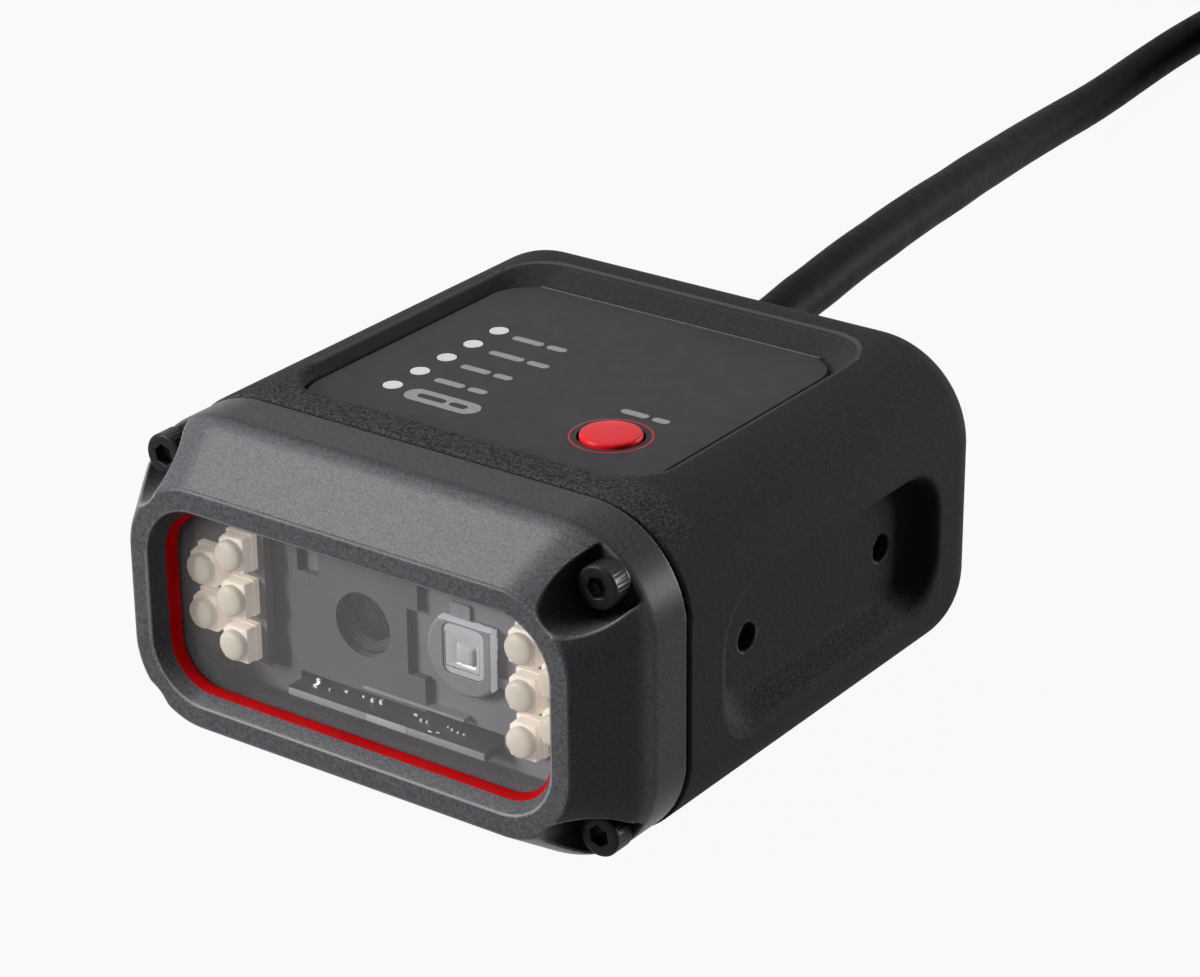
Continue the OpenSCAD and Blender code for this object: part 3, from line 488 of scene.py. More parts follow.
def fieldSkin(field, low, high, step):
    # points and quads of the surface where the field crosses zero
    axes = [np.arange(a - 1.5 * step, b + 2.5 * step, step) for a, b in zip(low, high)]
    d = np.ascontiguousarray(field(*np.meshgrid(*axes, indexing="ij", sparse=True)), np.float32)
    inside = d < 0
    n = [s - 1 for s in d.shape]
    corners = [(i, j, k) for i in (0, 1) for j in (0, 1) for k in (0, 1)]
    count = sum(inside[i:i + n[0], j:j + n[1], k:k + n[2]].astype(np.int8) for i, j, k in corners)
    active = (count > 0) & (count < 8)
    cells = np.argwhere(active)
    number = np.full(n, -1, np.int64)
    number[active] = np.arange(len(cells))
    total, hits = np.zeros((len(cells), 3)), np.zeros(len(cells))
    for a in corners:
        for axis in range(3):
            if a[axis]:
                continue
            b = tuple(v + (i == axis) for i, v in enumerate(a))
            da, db = (d[tuple((cells + o).T)].astype(float) for o in (a, b))
            crossed = (da < 0) != (db < 0)
            where = cells[crossed] + np.array(a, float)
            where[:, axis] += da[crossed] / (da[crossed] - db[crossed])
            total[crossed] += where
            hits[crossed] += 1
    points = total / hits[:, None] * step + [a[0] for a in axes]
    quads = []
    for axis in range(3):
        u, v = (axis + 1) % 3, (axis + 2) % 3
        lowCut = tuple(slice(0, s - 1) if i == axis else slice(1, s - 1) for i, s in enumerate(d.shape))
        highCut = tuple(slice(1, s) if i == axis else slice(1, s - 1) for i, s in enumerate(d.shape))
        lowSide, highSide = inside[lowCut], inside[highCut]
        offset = np.array([0 if i == axis else 1 for i in range(3)])
        for flip, found in ((False, lowSide & ~highSide), (True, ~lowSide & highSide)):
            c = np.argwhere(found) + offset
            du, dv = np.eye(3, dtype=int)[u], np.eye(3, dtype=int)[v]
            ring = [number[tuple((c - o).T)] for o in (du + dv, dv, 0 * du, du)]
            quads.append(np.stack(ring[::-1] if flip else ring, 1))
    return points, np.concatenate(quads)


def meshFrom(name, points, faces, finish):
    mesh = bpy.data.meshes.new(name)
    faces = np.asarray(faces)
    mesh.vertices.add(len(points))
    mesh.vertices.foreach_set("co", toFrame(points).astype(np.float32).ravel())
    size = faces.shape[1]
    mesh.loops.add(faces.size)
    mesh.loops.foreach_set("vertex_index", faces.astype(np.int32).ravel())
    mesh.polygons.add(len(faces))
    mesh.polygons.foreach_set("loop_start", np.arange(0, faces.size, size, dtype=np.int32))
    mesh.update(calc_edges=True)
    mesh.validate()
    mesh.materials.append(finishes[finish])
    return addObject(name, mesh)


def carve(name, field, box, spec, finish, shade=None):
    points, quads = fieldSkin(field, *box, spec["step"])
    for _ in range(3):
        points = pullToSkin(field, points, spec["step"])
    piece = meshFrom(name, points, quads, finish)
    thin = piece.modifiers.new("thin", "DECIMATE")  # flat areas need fewer triangles
    thin.ratio = spec["keep"]
    graph = bpy.context.evaluated_depsgraph_get()
    mesh = bpy.data.meshes.new_from_object(piece.evaluated_get(graph))
    piece.modifiers.clear()
    old, piece.data = piece.data, mesh
    bpy.data.meshes.remove(old)
    mesh.name = name
    smoothSkin(mesh, field, shade)
    print(name, len(mesh.polygons), "faces")
    return piece


def setValues(mesh, name, values):
    layer = mesh.attributes.new(name, "FLOAT", "POINT")
    layer.data.foreach_set("value", values.astype(np.float32))


def smoothSkin(mesh, field, shade, d=0.12):
    co = np.zeros(len(mesh.vertices) * 3, np.float32)
    mesh.vertices.foreach_get("co", co)
    p = co.reshape(-1, 3) / mm - (0.0, faceY, 0.0)
    slope = fieldSlope(field, p)
    slope /= np.maximum(np.linalg.norm(slope, axis=1), 1e-6)[:, None]
    mesh.shade_smooth()
    mesh.normals_split_custom_set_from_vertices([tuple(v) for v in slope])
    # how sharply the skin turns outwards at each point, for the painted highlights on edges
    x, y, z = p.T
    steps = ((d, 0, 0), (-d, 0, 0), (0, d, 0), (0, -d, 0), (0, 0, d), (0, 0, -d))
    around = sum(field(x + a, y + b, z + c) for a, b, c in steps)
    setValues(mesh, "edge", (around - 6 * field(x, y, z)) / (d * d))
    if shade:
        setValues(mesh, "shade", shade(x, y, z))


def blend(pair, t):
    return pair[0] + (pair[1] - pair[0]) * t


def between(first, last, t):
    return [blend(pair, t) for pair in zip(first, last)]


def cutAway(solid, tool):
    return np.maximum(solid, -tool)


def fade(value, width):
    # 0 below zero, rising to 1 over the width
    return np.clip(value / width, 0, 1)


def carry(piece, slot, *replaced, body="reader"):
    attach(piece, body)
    if replaced:
        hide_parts(*replaced)
    return piece


# front bezel: half sizes in mm

bezel = dict(
    frame=(27.25, 13.2, 8.3), rim=(31.4, 17.8, 10.8), nose=0.12, taper=7.2, soft=0.2, depth=13.3,
    edge=0.3, backEdge=0.2, opening=(25.0, 10.75, 6.2), flare=(0.6745, 0.4877, 0.55), lip=2.55, lipOver=0.05,
    lipEdge=0.16, glassBay=(25.7, 11.45, 6.5), shoulder=9.4, cavity=(27.6, 14.0, 9.0), bayEdge=0.1,
    screw=(26.7165, 13.1165), pocketR=3.4, pocketFloor=7.7, pocketEdge=0.28, floorEdge=0.5, holeR=1.4,
    # sloped walls count as this much of their distance
    slopeShare=0.86, mouthShare=0.85,
    # painted shade in the pockets, and a darker rim: strength, start and width of the fade
    pocketPaintedShade=0.9, pocketOver=0.12, pocketFade=0.3, floorOver=0.3, floorFade=0.4, rimDark=0.5, rimFade=0.8,
    box=((-31.4, 0, 0.2), (31.4, 13.3, 35.8)), step=0.27, keep=0.5)


def screwSlot(x, z):
    # the pocket, open towards the corner, and the screw's hole
    b = bezel
    ax, az = np.abs(x) - b["screw"][0], np.abs(z - midZ) - b["screw"][1]
    out, across = (ax + az) * math.sqrt(0.5), (az - ax) * math.sqrt(0.5)
    return np.sqrt(np.minimum(out, 0) ** 2 + across ** 2) - b["pocketR"], rod(ax, az, b["holeR"])


def bezelShade(x, y, z):
    b = bezel
    # painted shade: the screw pockets are darkened where shade falls in them, and the rim is darker
    pocket = fade(b["pocketOver"] - screwSlot(x, z)[0], b["pocketFade"])
    pocket = pocket * fade(b["pocketFloor"] + b["floorOver"] - y, b["floorFade"])
    return np.maximum(pocket * b["pocketPaintedShade"], fade(y - b["taper"], b["rimFade"]) * b["rimDark"])


def bezelField(x, y, z):
    b = bezel
    h = z - midZ
    t = softLimit(np.maximum((y - b["nose"]) / (b["taper"] - b["nose"]), 0), 1.0, b["soft"])
    solid = roundedRect(x, h, *between(b["frame"], b["rim"], t)) * b["slopeShare"]
    solid = roundMeet(solid, -y, b["edge"])
    solid = roundMeet(solid, y - b["depth"], b["backEdge"])
    slot, hole = screwSlot(x, z)
    slot = roundMeet(slot, y - b["pocketFloor"], b["floorEdge"])
    solid = cutAway(roundCut(solid, slot, b["pocketEdge"]), hole)
    mouth = [s - y * f for s, f in zip(b["opening"], b["flare"])]
    mouth = meet(roundedRect(x, h, *mouth) * b["mouthShare"], y - b["lip"] - b["lipOver"])
    solid = roundCut(solid, mouth, b["lipEdge"])
    bay = meet(roundedRect(x, h, *b["glassBay"]), b["lip"] - y)
    cavity = meet(roundedRect(x, h, *b["cavity"]), b["shoulder"] - y)
    return roundCut(solid, np.minimum(bay, cavity), b["bayEdge"])


frontBezel = carve("frontBezel", bezelField, bezel["box"], bezel, "bezelPaint", bezelShade)
carry(frontBezel, "bezel_paint", "front_bezel")
print("bezel carved")


# housing

housing = dict(
    half=(31.6, 18.0, 11.0), front=13.7, back=68.0, backR=5.0, frontEdge=0.3, top=36.0,
    labelFloor=(21.5, 19.8, 5.2), labelTop=(22.9, 21.6, 6.0), labelY=(37.6, 39.4), labelZ=34.1,
    labelEdge=0.35, sideFloor=(17.9, 6.45, 5.0), sideTop=(19.65, 8.15, 6.0), sideY=(40.3, 39.45),
    sideZ=(18.05, 17.15), sideX=28.4, skinX=31.6, sideEdge=0.7, sideFillet=0.5, slopeShare=0.8,
    mounts=(28.0, 53.0), mountR=1.5, mountEnd=23.4, mountEdge=0.18, bossR=3.5, bossEnd=22.4,
    hollow=(25.6, 14.55, 8.0), hollowZ=17.05, hollowEnd=65.5,
    posts=[(20.0, 26.0), (20.0, 52.0)], postR=2.5, postZ=8.05,
    lights=(-14.0, 26.2, 4.5, 1.15), lightCount=5, button=(12.0, 28.2, 3.5),
    gland=(-14.0, 18.0, 4.8), glandY=60.0,
    # coarse grain on the front strip, the label's ramp and the recess's lower shelf, where its paler tone is
    # also painted light
    stripEnd=19.5, stripZ=31.0, stripFade=(1.5, 2.5), rampEnd=25.0, rampOver=0.5, rampUp=0.1, rampShare=0.7,
    shelfX=31.2, shelfOut=0.2, shelfZ=(10.3, 1.5), shelfGrainAndLight=0.55,
    box=((-31.6, 13.7, 0), (31.6, 68, 36)), step=0.36, keep=0.36)


def housingShade(x, y, z):
    b = housing
    side = np.abs(x)
    strip = fade(b["stripEnd"] - y, b["stripFade"][0]) * fade(z - b["stripZ"], b["stripFade"][1])
    ramp = roundedRect(x, y - b["labelY"][1], *b["labelTop"]) < b["rampOver"]
    ramp = ramp & (z > b["labelZ"] + b["rampUp"]) & (y < b["rampEnd"])
    # the recess's lower shelf: real grain, and painted light, as the paler grain lightens this upward-facing
    # shelf
    shelf = (side > b["sideX"] + b["shelfOut"]) & (side < b["shelfX"]) & (y > b["stripEnd"])
    shelf = shelf & (np.abs(z - b["shelfZ"][0]) < b["shelfZ"][1])
    return np.maximum(np.maximum(strip, b["rampShare"] * ramp), b["shelfGrainAndLight"] * shelf)


def housingField(x, y, z):
    b = housing
    solid = roundMeet(roundedRect(x, z - midZ, *b["half"]), y - b["back"], b["backR"])
    solid = roundMeet(solid, b["front"] - y, b["frontEdge"])
    t = (z - b["labelZ"]) / (b["top"] - b["labelZ"])
    tray = roundedRect(x, y - blend(b["labelY"], t), *between(b["labelFloor"], b["labelTop"], t))
    solid = roundCut(solid, meet(tray * b["slopeShare"], b["labelZ"] - z), b["labelEdge"])
    side = np.abs(x)
    t = (side - b["sideX"]) / (b["skinX"] - b["sideX"])
    y0, z0 = blend(b["sideY"], t), blend(b["sideZ"], t)
    dent = roundedRect(y - y0, z - z0, *between(b["sideFloor"], b["sideTop"], t)) * b["slopeShare"]
    solid = roundCut(solid, roundMeet(dent, b["sideX"] - side, b["sideFillet"]), b["sideEdge"])
    inner = meet(roundedRect(x, z - b["hollowZ"], *b["hollow"]), y - b["hollowEnd"])
    for postX, postY in b["posts"]:
        inner = cutAway(inner, meet(rod(side - postX, y - postY, b["postR"]), z - b["postZ"]))
    for mountY in b["mounts"]:  # blind holes in bosses
        hole, boss = (rod(y - mountY, z - b["sideZ"][1], b[key]) for key in ("mountR", "bossR"))
        solid = roundCut(solid, meet(hole, b["mountEnd"] - side), b["mountEdge"])
        inner = cutAway(inner, meet(boss, b["bossEnd"] - side))
    solid = cutAway(solid, inner)
    lightX, lightY, pitch, lightR = b["lights"]
    for i in range(b["lightCount"]):
        solid = cutAway(solid, meet(rod(x - lightX, y - lightY - i * pitch, lightR), midZ - z))
    buttonX, buttonY, buttonR = b["button"]
    solid = cutAway(solid, meet(rod(x - buttonX, y - buttonY, buttonR), midZ - z))
    glandX, glandZ, glandR = b["gland"]
    return cutAway(solid, meet(rod(x - glandX, z - glandZ, glandR), b["glandY"] - y))


mainHousing = carve("mainHousing", housingField, housing["box"], housing, "housingPaint", housingShade)
carry(mainHousing, "housing_paint", "main_housing")
print("housing carved")


# corner screws: socket caps, drawn once about their own axis

capScrew = dict(
    headR=2.25, headL=2.5, edge=0.28, hexHalf=1.0, hexDeep=1.3, hexEdge=0.1, hexTurn=(0.5, 0.866),
    threadR=1.25, threadL=14.0, threadDeep=0.16, threadIn=1.0, pitch=0.45,
    knurls=30, knurlDeep=0.05, knurlFront=0.45, knurlBack=0.25, knurlFade=0.1,
    corners=[(-1, 1, 14), (1, 1, 41), (1, -1, 8), (-1, -1, 52)],  # side, height and turn in degrees
    box=((-2.3, -2.5, -2.3), (2.3, 14.0, 2.3)), step=0.1, keep=0.4)


def screwField(x, y, z):
    b = capScrew
    around = np.arctan2(z, x)
    r = np.sqrt(x * x + z * z)
    grip = fade(y + b["headL"] - b["knurlFront"], b["knurlFade"]) * fade(-b["knurlBack"] - y, b["knurlFade"])
    head = r - b["headR"] + b["knurlDeep"] * grip * (0.5 + 0.5 * np.cos(b["knurls"] * around))
    head = meet(roundMeet(head, -y - b["headL"], b["edge"]), y)
    turn = y / b["pitch"] + around / (2 * math.pi)
    groove = np.abs(turn - np.floor(turn) - 0.5) * 2
    shank = meet(r - b["threadR"] + b["threadDeep"] * groove, y - b["threadL"])
    solid = np.minimum(head, meet(shank, -b["threadIn"] - y))
    c, s = b["hexTurn"]
    flats = meet(np.abs(x), meet(np.abs(c * x + s * z), np.abs(c * x - s * z)))
    socket = meet(flats - b["hexHalf"], y + b["headL"] - b["hexDeep"])
    return roundCut(solid, socket, b["hexEdge"])


def makeScrews(b):
    points, quads = fieldSkin(screwField, *b["box"], b["step"])
    for _ in range(2):
        points = pullToSkin(screwField, points, b["step"])
    x, y, z = points.T
    allPoints, allQuads = [], []
    for i, (sx, sz, turn) in enumerate(b["corners"]):
        c, s = math.cos(math.radians(turn)), math.sin(math.radians(turn))
        moved = np.stack([x * c - z * s + sx * bezel["screw"][0], y + bezel["pocketFloor"],
                          x * s + z * c + midZ + sz * bezel["screw"][1]], 1)
        allPoints.append(moved)
        allQuads.append(quads + i * len(points))
    piece = meshFrom("cornerScrews", np.concatenate(allPoints), np.concatenate(allQuads), "blackScrew")
    piece.data.shade_smooth()
    thin = piece.modifiers.new("thin", "DECIMATE")
    thin.ratio = b["keep"]
    return piece


carry(makeScrews(capScrew), "black_screw", "bezel_screws")
print("screws turned")


# smaller pieces: rings of points, lofted into closed forms

def rectRing(halfU, halfV, r, steps=5, cut=0.0):
    # a rounded rectangle; its first corner may be cut off straight
    ring = []
    for i, (su, sv) in enumerate(((1, 1), (-1, 1), (-1, -1), (1, -1))):
        for k in range(steps + 1):
            t = k / steps
            if cut and i == 1:
                ring.append((-halfU + cut * (1 - t), halfV - cut * t))
                continue
            a = math.radians(90 * (i + t))
            ring.append((su * (halfU - r) + r * math.cos(a), sv * (halfV - r) + r * math.sin(a)))
    return ring


def upright(ring, x, z, y):
    return [(x + u, y, z + v) for u, v in ring]


def lying(ring, x, y, z):
    return [(x + u, y + v, z) for u, v in ring]


def turned(profile, sides, centre, axis="y", wave=None):
    # rings of a turned profile of (radius, place); wave changes the radius round the turn
    rings = []
    for r, t in profile:
        ring = []
        for k in range(sides):
            a = 2 * math.pi * k / sides
            grown = r + (wave(t, a) if wave else 0.0)
            u, v = grown * math.cos(a), grown * math.sin(a)
            ring.append((centre[0] + u, centre[1] + t, centre[2] + v) if axis == "y" else
                        (centre[0] + u, centre[1] + v, centre[2] + t))
        rings.append(ring)
    return rings


def loft(rings, band=False, slot=0):
    # points, faces and finish number of a form through its rings; a band closes on itself, the rest get caps
    n, points, faces = len(rings[0]), [p for ring in rings for p in ring], []
    for i in range(len(rings) if band else len(rings) - 1):
        low, high = i * n, (i + 1) % len(rings) * n
        faces += [(low + k, low + (k + 1) % n, high + (k + 1) % n, high + k) for k in range(n)]
    if not band:
        faces += [tuple(range(n)), tuple(range(len(points) - n, len(points)))]
    return points, faces, slot


def assemble(name, forms, *finishNames, sharp=38.0):
    points, faces, slots = [], [], []
    for formPoints, formFaces, slot in forms:
        faces += [tuple(i + len(points) for i in face) for face in formFaces]
        slots += [slot] * len(formFaces)
        points += formPoints
    mesh = bpy.data.meshes.new(name)
    mesh.from_pydata(toFrame(points).tolist(), [], faces)
    mesh.polygons.foreach_set("material_index", np.array(slots, np.int32))
    work = bmesh.new()
    work.from_mesh(mesh)
    bmesh.ops.recalc_face_normals(work, faces=work.faces)
    work.to_mesh(mesh)
    work.free()
    mesh.shade_smooth()
    mesh.set_sharp_from_angle(angle=math.radians(sharp))
    for finish in finishNames:
        mesh.materials.append(finishes[finish])
    return addObject(name, mesh)


# red seal round the window

seal = dict(outer=(25.5, 11.25, 6.3), front=1.7, back=2.9, steps=16,
            # the bead: depth, and distance outside the bezel's flared mouth
            bead=[(1.6, 0.3), (1.6, -0.02), (1.72, -0.05), (1.95, -0.05), (2.2, -0.04), (2.45, 0.0),
                  (2.62, 0.07), (2.74, 0.2), (2.82, 0.45), (2.9, 0.8)])


def makeSeal(b):
    def ringAt(y, sizes):
        return upright(rectRing(*sizes, steps=b["steps"]), 0, midZ, y)

    rings = [ringAt(y, b["outer"]) for y in (b["back"], b["front"])]
    for y, out in b["bead"]:
        rings.append(ringAt(y, [s - y * f + out for s, f in zip(bezel["opening"], bezel["flare"])]))
    return assemble("windowSeal", [loft(rings, band=True)], "redSeal")


carry(makeSeal(seal), "seal_rubber", "window_seal")
print("seal pressed")


# light emitters: a cream package with one cut corner on a wider base, and a flat dome

emitter = dict(
    columns=(18.1, 22.0), middle=17.6, pitch=5.0,
    places=[(0, -1), (0, 0), (0, 1), (1, -0.5), (1, 0.5)],  # column, and steps above the middle
    half=(1.62, 1.93), corner=0.22, cut=0.6, front=5.5, base=(1.68, 2.0, 0.12), baseY=6.82, boardY=7.6,
    edge=[(0.0, 0.2), (0.06, 0.06), (0.2, 0.0)],  # inset, and distance behind the front
    dome=1.64, domeOut=1.02, domeIn=0.05, drum=0.42, domeTurns=(0, 15, 30, 45, 58, 70, 80, 87), sides=36,
    lead=(0.28, 0.5, 0.06), leadZ=1.1, leadT=0.35)


def emitterForms(b, x, z, side):
    halfU, halfV = b["half"]
    front, board, drum = b["front"], b["boardY"], b["drum"]
    forms = [loft([upright(rectRing(*b["base"]), x, z, y) for y in (board, b["baseY"])])]
    shell = [(0.0, b["baseY"])] + [(d, front + back) for d, back in b["edge"]]
    forms.append(loft([upright(rectRing(halfU - d, halfV - d, b["corner"], cut=b["cut"] - 0.5 * d), x, z, y)
                       for d, y in shell]))
    dome = [(b["dome"], front + b["domeIn"]), (b["dome"], front - 0.5 * drum)]
    for a in np.radians(b["domeTurns"]):
        dome.append((b["dome"] * math.cos(a), front - drum - (b["domeOut"] - drum) * math.sin(a)))
    forms.append(loft(turned(dome, b["sides"], (x, 0, z)), slot=1))
    for up in (-b["leadZ"], b["leadZ"]):  # soldered leads at the foot
        forms.append(loft([upright(rectRing(*b["lead"]), x + side * halfU, z + up, y)
                           for y in (board, board - b["leadT"])], slot=2))
    return forms


def makeEmitters(name, side, b):
    forms = []
    for column, up in b["places"]:
        forms += emitterForms(b, side * b["columns"][column], b["middle"] + up * b["pitch"], side)
    return assemble(name, forms, "emitterCream", "emitterDome", "solder")


carry(makeEmitters("leftEmitters", -1, emitter), "pale_plastic", "left_leds")
carry(makeEmitters("rightEmitters", 1, emitter), "pale_plastic", "right_leds")
print("emitters placed")


# aimer: a moulded disc with two flats and two tabs, and the stepped lens set into it

aimer = dict(
    centre=(9.2, 18.2), r=4.6, flat=3.3, front=7.9, back=9.39, soft=0.5, edge=0.1, hole=1.6,
    tabs=[(-1.2, 3.6, 1.25, 1.15), (3.8, -2.4, 1.2, 0.55)], tabCorner=0.15, tabY=9.0, reach=(5.0, 4.9),
    pocket=(0.0, 0.3, 2.52, 2.72, 0.9), pocketEdge=0.08, seat=8.9, rimIn=0.12, rimTurn=0.75,
    step=0.13, keep=0.5, sharp=25.0,
    # rings of the lens: offset, half sizes, corner and depth
    rings=[(0, 0.3, 2.5, 2.7, 0.9, 8.9), (0, 0.3, 2.5, 2.7, 0.9, 8.1), (0, 0.3, 2.42, 2.62, 0.85, 8.02),
           (-0.24, 0.14, 2.14, 1.88, 0.12, 8.02), (-0.24, 0.14, 2.13, 1.87, 0.12, 8.3),
           (-0.18, 0.2, 2.06, 1.8, 0.12, 8.3), (-0.18, 0.2, 2.05, 1.79, 0.12, 8.02),
           (0.1, 0.1, 1.6, 1.4, 0.3, 8.05), (0.2, 0.06, 1.2, 1.12, 0.3, 8.22),
           (0.22, 0.05, 1.14, 1.06, 0.35, 8.2), (0.22, 0.05, 1.02, 0.95, 0.4, 7.98),
           (0.22, 0.05, 0.86, 0.8, 0.4, 7.86), (0.22, 0.05, 0.5, 0.46, 0.3, 7.8),
           (0.22, 0.05, 0.15, 0.14, 0.1, 7.79)])


def aimerField(x, y, z):
    b = aimer
    u, v = x - b["centre"][0], z - b["centre"][1]
    solid = roundMeet(rod(u, v, b["r"]), b["front"] - y, b["soft"])
    solid = roundMeet(solid, meet(u, v) - b["flat"], b["edge"])
    for du, dv, halfU, halfV in b["tabs"]:
        tab = roundedRect(u - du, v - dv, halfU, halfV, b["tabCorner"])
        solid = np.minimum(solid, meet(tab, b["tabY"] - y))
    solid = meet(solid, y - b["back"])
    du, dv, *pocket = b["pocket"]
    pocket = meet(roundedRect(u - du, v - dv, *pocket), y - b["seat"])
    return cutAway(roundCut(solid, pocket, b["pocketEdge"]), rod(u - du, v - dv, b["hole"]))


def makeAimerHolder(b):
    x, z = b["centre"]
    box = ((x - b["r"], b["front"], z - b["r"]), (x + b["reach"][0], b["back"], z + b["reach"][1]))
    piece = carve("aimerHolder", aimerField, box, b, "aimerWhite")
    piece.data.materials.append(finishes["aimerRim"])
    for face in piece.data.polygons:  # painted light: the flats get a paler finish that glows, standing for light leaving the clear plastic at its edges
        spot = face.center / mm
        onFlat = max(spot.x - x, spot.z - z) > b["flat"] - b["rimIn"] and spot.y - faceY < b["tabY"]
        if onFlat and max(face.normal.x, face.normal.z) > b["rimTurn"]:
            face.material_index = 1
    return piece


def makeAimerLens(b):
    x, z = b["centre"]
    rings = [upright(rectRing(halfU, halfV, r), x + du, z + dv, y)
             for du, dv, halfU, halfV, r, y in b["rings"]]
    return assemble("aimerLens", [loft(rings)], "aimerMilk", sharp=b["sharp"])


carry(makeAimerHolder(aimer), "pale_plastic", "aimer_holder")
carry(makeAimerLens(aimer), "clear_glass", "aimer_lens")
print("aimer set")


# camera lens: a stepped grey barrel and a domed front glass

optic = dict(
    centre=(-3.8, 0.0, 17.6), front=9.5, length=5.6, barrelR=3.2, sides=64,
    steps=[(3.2, 0.0), (3.05, 0.0), (2.95, 0.3), (2.75, 0.3), (2.68, 0.55), (2.5, 0.55), (2.42, 0.8)],
    glassR=2.38, glassY=10.4, glassT=1.2, dome=0.45, shares=(0.95, 0.85, 0.7, 0.55, 0.4, 0.25, 0.1))


def makeOptic(b):
    front, end = b["front"], b["front"] + b["length"]
    last = b["steps"][-1][0]
    barrel = [(b["barrelR"], end)] + [(r, front + y) for r, y in b["steps"]] + [(last, end)]
    ball = (b["glassR"] ** 2 + b["dome"] ** 2) / (2 * b["dome"])
    middle = b["glassY"] - b["dome"] + ball
    glass = [(b["glassR"], b["glassY"] + b["glassT"]), (b["glassR"], b["glassY"])]
    for share in b["shares"]:
        r = b["glassR"] * share
        glass.append((r, middle - math.sqrt(ball * ball - r ** 2)))
    return (assemble("lensBarrel", [loft(turned(barrel, b["sides"], b["centre"]), band=True)], "barrelGrey"),
            assemble("frontLens", [loft(turned(glass, b["sides"], b["centre"]))], "lensGlass"))


lensBarrel, frontLens = makeOptic(optic)
carry(lensBarrel, "dark_plastic", "lens_barrel")
carry(frontLens, "clear_glass", "lens_glass")
print("lens turned")


# small parts on the board's tongue: place, width, depth and height

tongue = dict(
    top=8.95, sink=0.02, partCorner=0.05, partEdge=(0.04, 0.05), stripCorner=0.06, stripEdge=0.05,
    parts=[(-10.0, 8.3, 0.55, 0.5, 0.3), (-10.0, 8.75, 0.55, 0.35, 0.75), (-8.3, 8.4, 0.22, 0.3, 0.3),
           (-8.4, 10.6, 0.35, 0.4, 0.25), (-6.7, 9.1, 0.4, 0.3, 0.2), (-4.6, 9.2, 0.3, 0.2, 0.2),
           (-3.25, 9.0, 0.4, 0.4, 0.4), (-2.3, 9.2, 0.45, 0.4, 0.45), (2.1, 9.15, 0.5, 0.2, 0.2),
           (3.3, 8.5, 0.3, 0.3, 0.3), (4.0, 8.55, 0.28, 0.3, 0.3), (5.3, 7.3, 0.5, 0.15, 0.08),
           (6.1, 7.55, 0.4, 0.15, 0.08), (6.3, 8.95, 0.2, 0.2, 0.2), (6.95, 8.75, 0.25, 0.25, 0.22),
           (7.8, 8.6, 0.25, 0.25, 0.22), (8.55, 8.6, 0.25, 0.25, 0.22)],
    # strips on the board's edge and below the bracket: ranges in x, y and z, and number of the finish
    strips=[((-12.4, -2.4), (6.72, 6.81), (8.1, 8.9), 1), ((-2.4, 2.8), (6.7, 6.81), (8.12, 8.9), 2),
            ((2.8, 12.45), (6.72, 6.81), (8.1, 8.9), 1), ((-3.9, 8.8), (8.3, 9.38), (10.55, 10.9), 1)])


def makeTongue(b):
    top, (inset, drop), edge = b["top"], b["partEdge"], b["stripEdge"]
    forms = []
    for x, y, w, d, h in b["parts"]:
        rings = [rectRing(w / 2 - e, d / 2 - e, b["partCorner"]) for e in (0.0, 0.0, inset)]
        heights = (top - b["sink"], top + h - drop, top + h)
        forms.append(loft([lying(ring, x, y, z) for ring, z in zip(rings, heights)]))
    for (x0, x1), (y0, y1), (z0, z1), slot in b["strips"]:
        rings = [rectRing((x1 - x0) / 2 - e, (z1 - z0) / 2 - e, b["stripCorner"]) for e in (0.0, 0.0, edge)]
        forms.append(loft([upright(ring, (x0 + x1) / 2, (z0 + z1) / 2, y)
                           for ring, y in zip(rings, (y1, y0 + edge, y0))], slot=slot))
    return assemble("tongueParts", forms, "solder", "boardEdge", "boardTab")


carry(makeTongue(tongue), "pale_plastic", "tongue_parts")
print("board dressed")


# setup button: a turned cap with a soft crown, its flange and its stem

button = dict(
    centre=(12.0, 28.2), r=3.2, top=35.12, crown=0.1, edge=0.3, ceiling=31.6, flangeR=4.2, flangeT=0.8,
    stemR=2.0, stemL=1.5, sides=64, edgeTurns=(15, 30, 45, 60, 75, 88),
    crownShares=(0.8, 0.6, 0.4, 0.2, 0.05))


def makeButton(b):
    low, flange = b["ceiling"] - b["stemL"], b["ceiling"] - b["flangeT"]
    profile = [(b["stemR"], low), (b["stemR"], flange), (b["flangeR"], flange), (b["flangeR"], b["ceiling"]),
               (b["r"], b["ceiling"]), (b["r"], b["top"] - b["crown"] - b["edge"])]
    for a in np.radians(b["edgeTurns"]):
        profile.append((b["r"] - b["edge"] * (1 - math.cos(a)),
                        b["top"] - b["crown"] - b["edge"] * (1 - math.sin(a))))
    rest = profile[-1][0]
    for t in b["crownShares"]:
        profile.append((rest * t, b["top"] - b["crown"] * t * t))
    return assemble("setupButton", [loft(turned(profile, b["sides"], (*b["centre"], 0), "z"))], "buttonRed")


carry(makeButton(button), "button_plastic", "setup_button", body="button")
print("button turned")


# label print: thin raised marks, plain bars in the places of captions, and a pale strip on the label's back
# edge that is a painted highlight

marks = dict(
    labelZ=34.6, thick=0.03, sink=0.01, over=0.02, sharp=0.01, steps=6,
    bars=[(-11.6, -4.7, 43.5), (-11.2, -3.6, 38.9), (-11.3, -4.8, 34.2), (-11.3, -4.7, 29.8),
          (9.1, 14.9, 34.1)],
    barHalf=0.5, gap=0.55, share=0.62, pill=(-7.1, 25.6, 4.6, 1.42), pillMark=(3.1, 0.45),
    # the pale strip on the label's back edge is a painted highlight
    backGlintStrip=(0.0, 57.05, 18.0, 0.13), ring=(4.08, 4.3), ringSides=72)


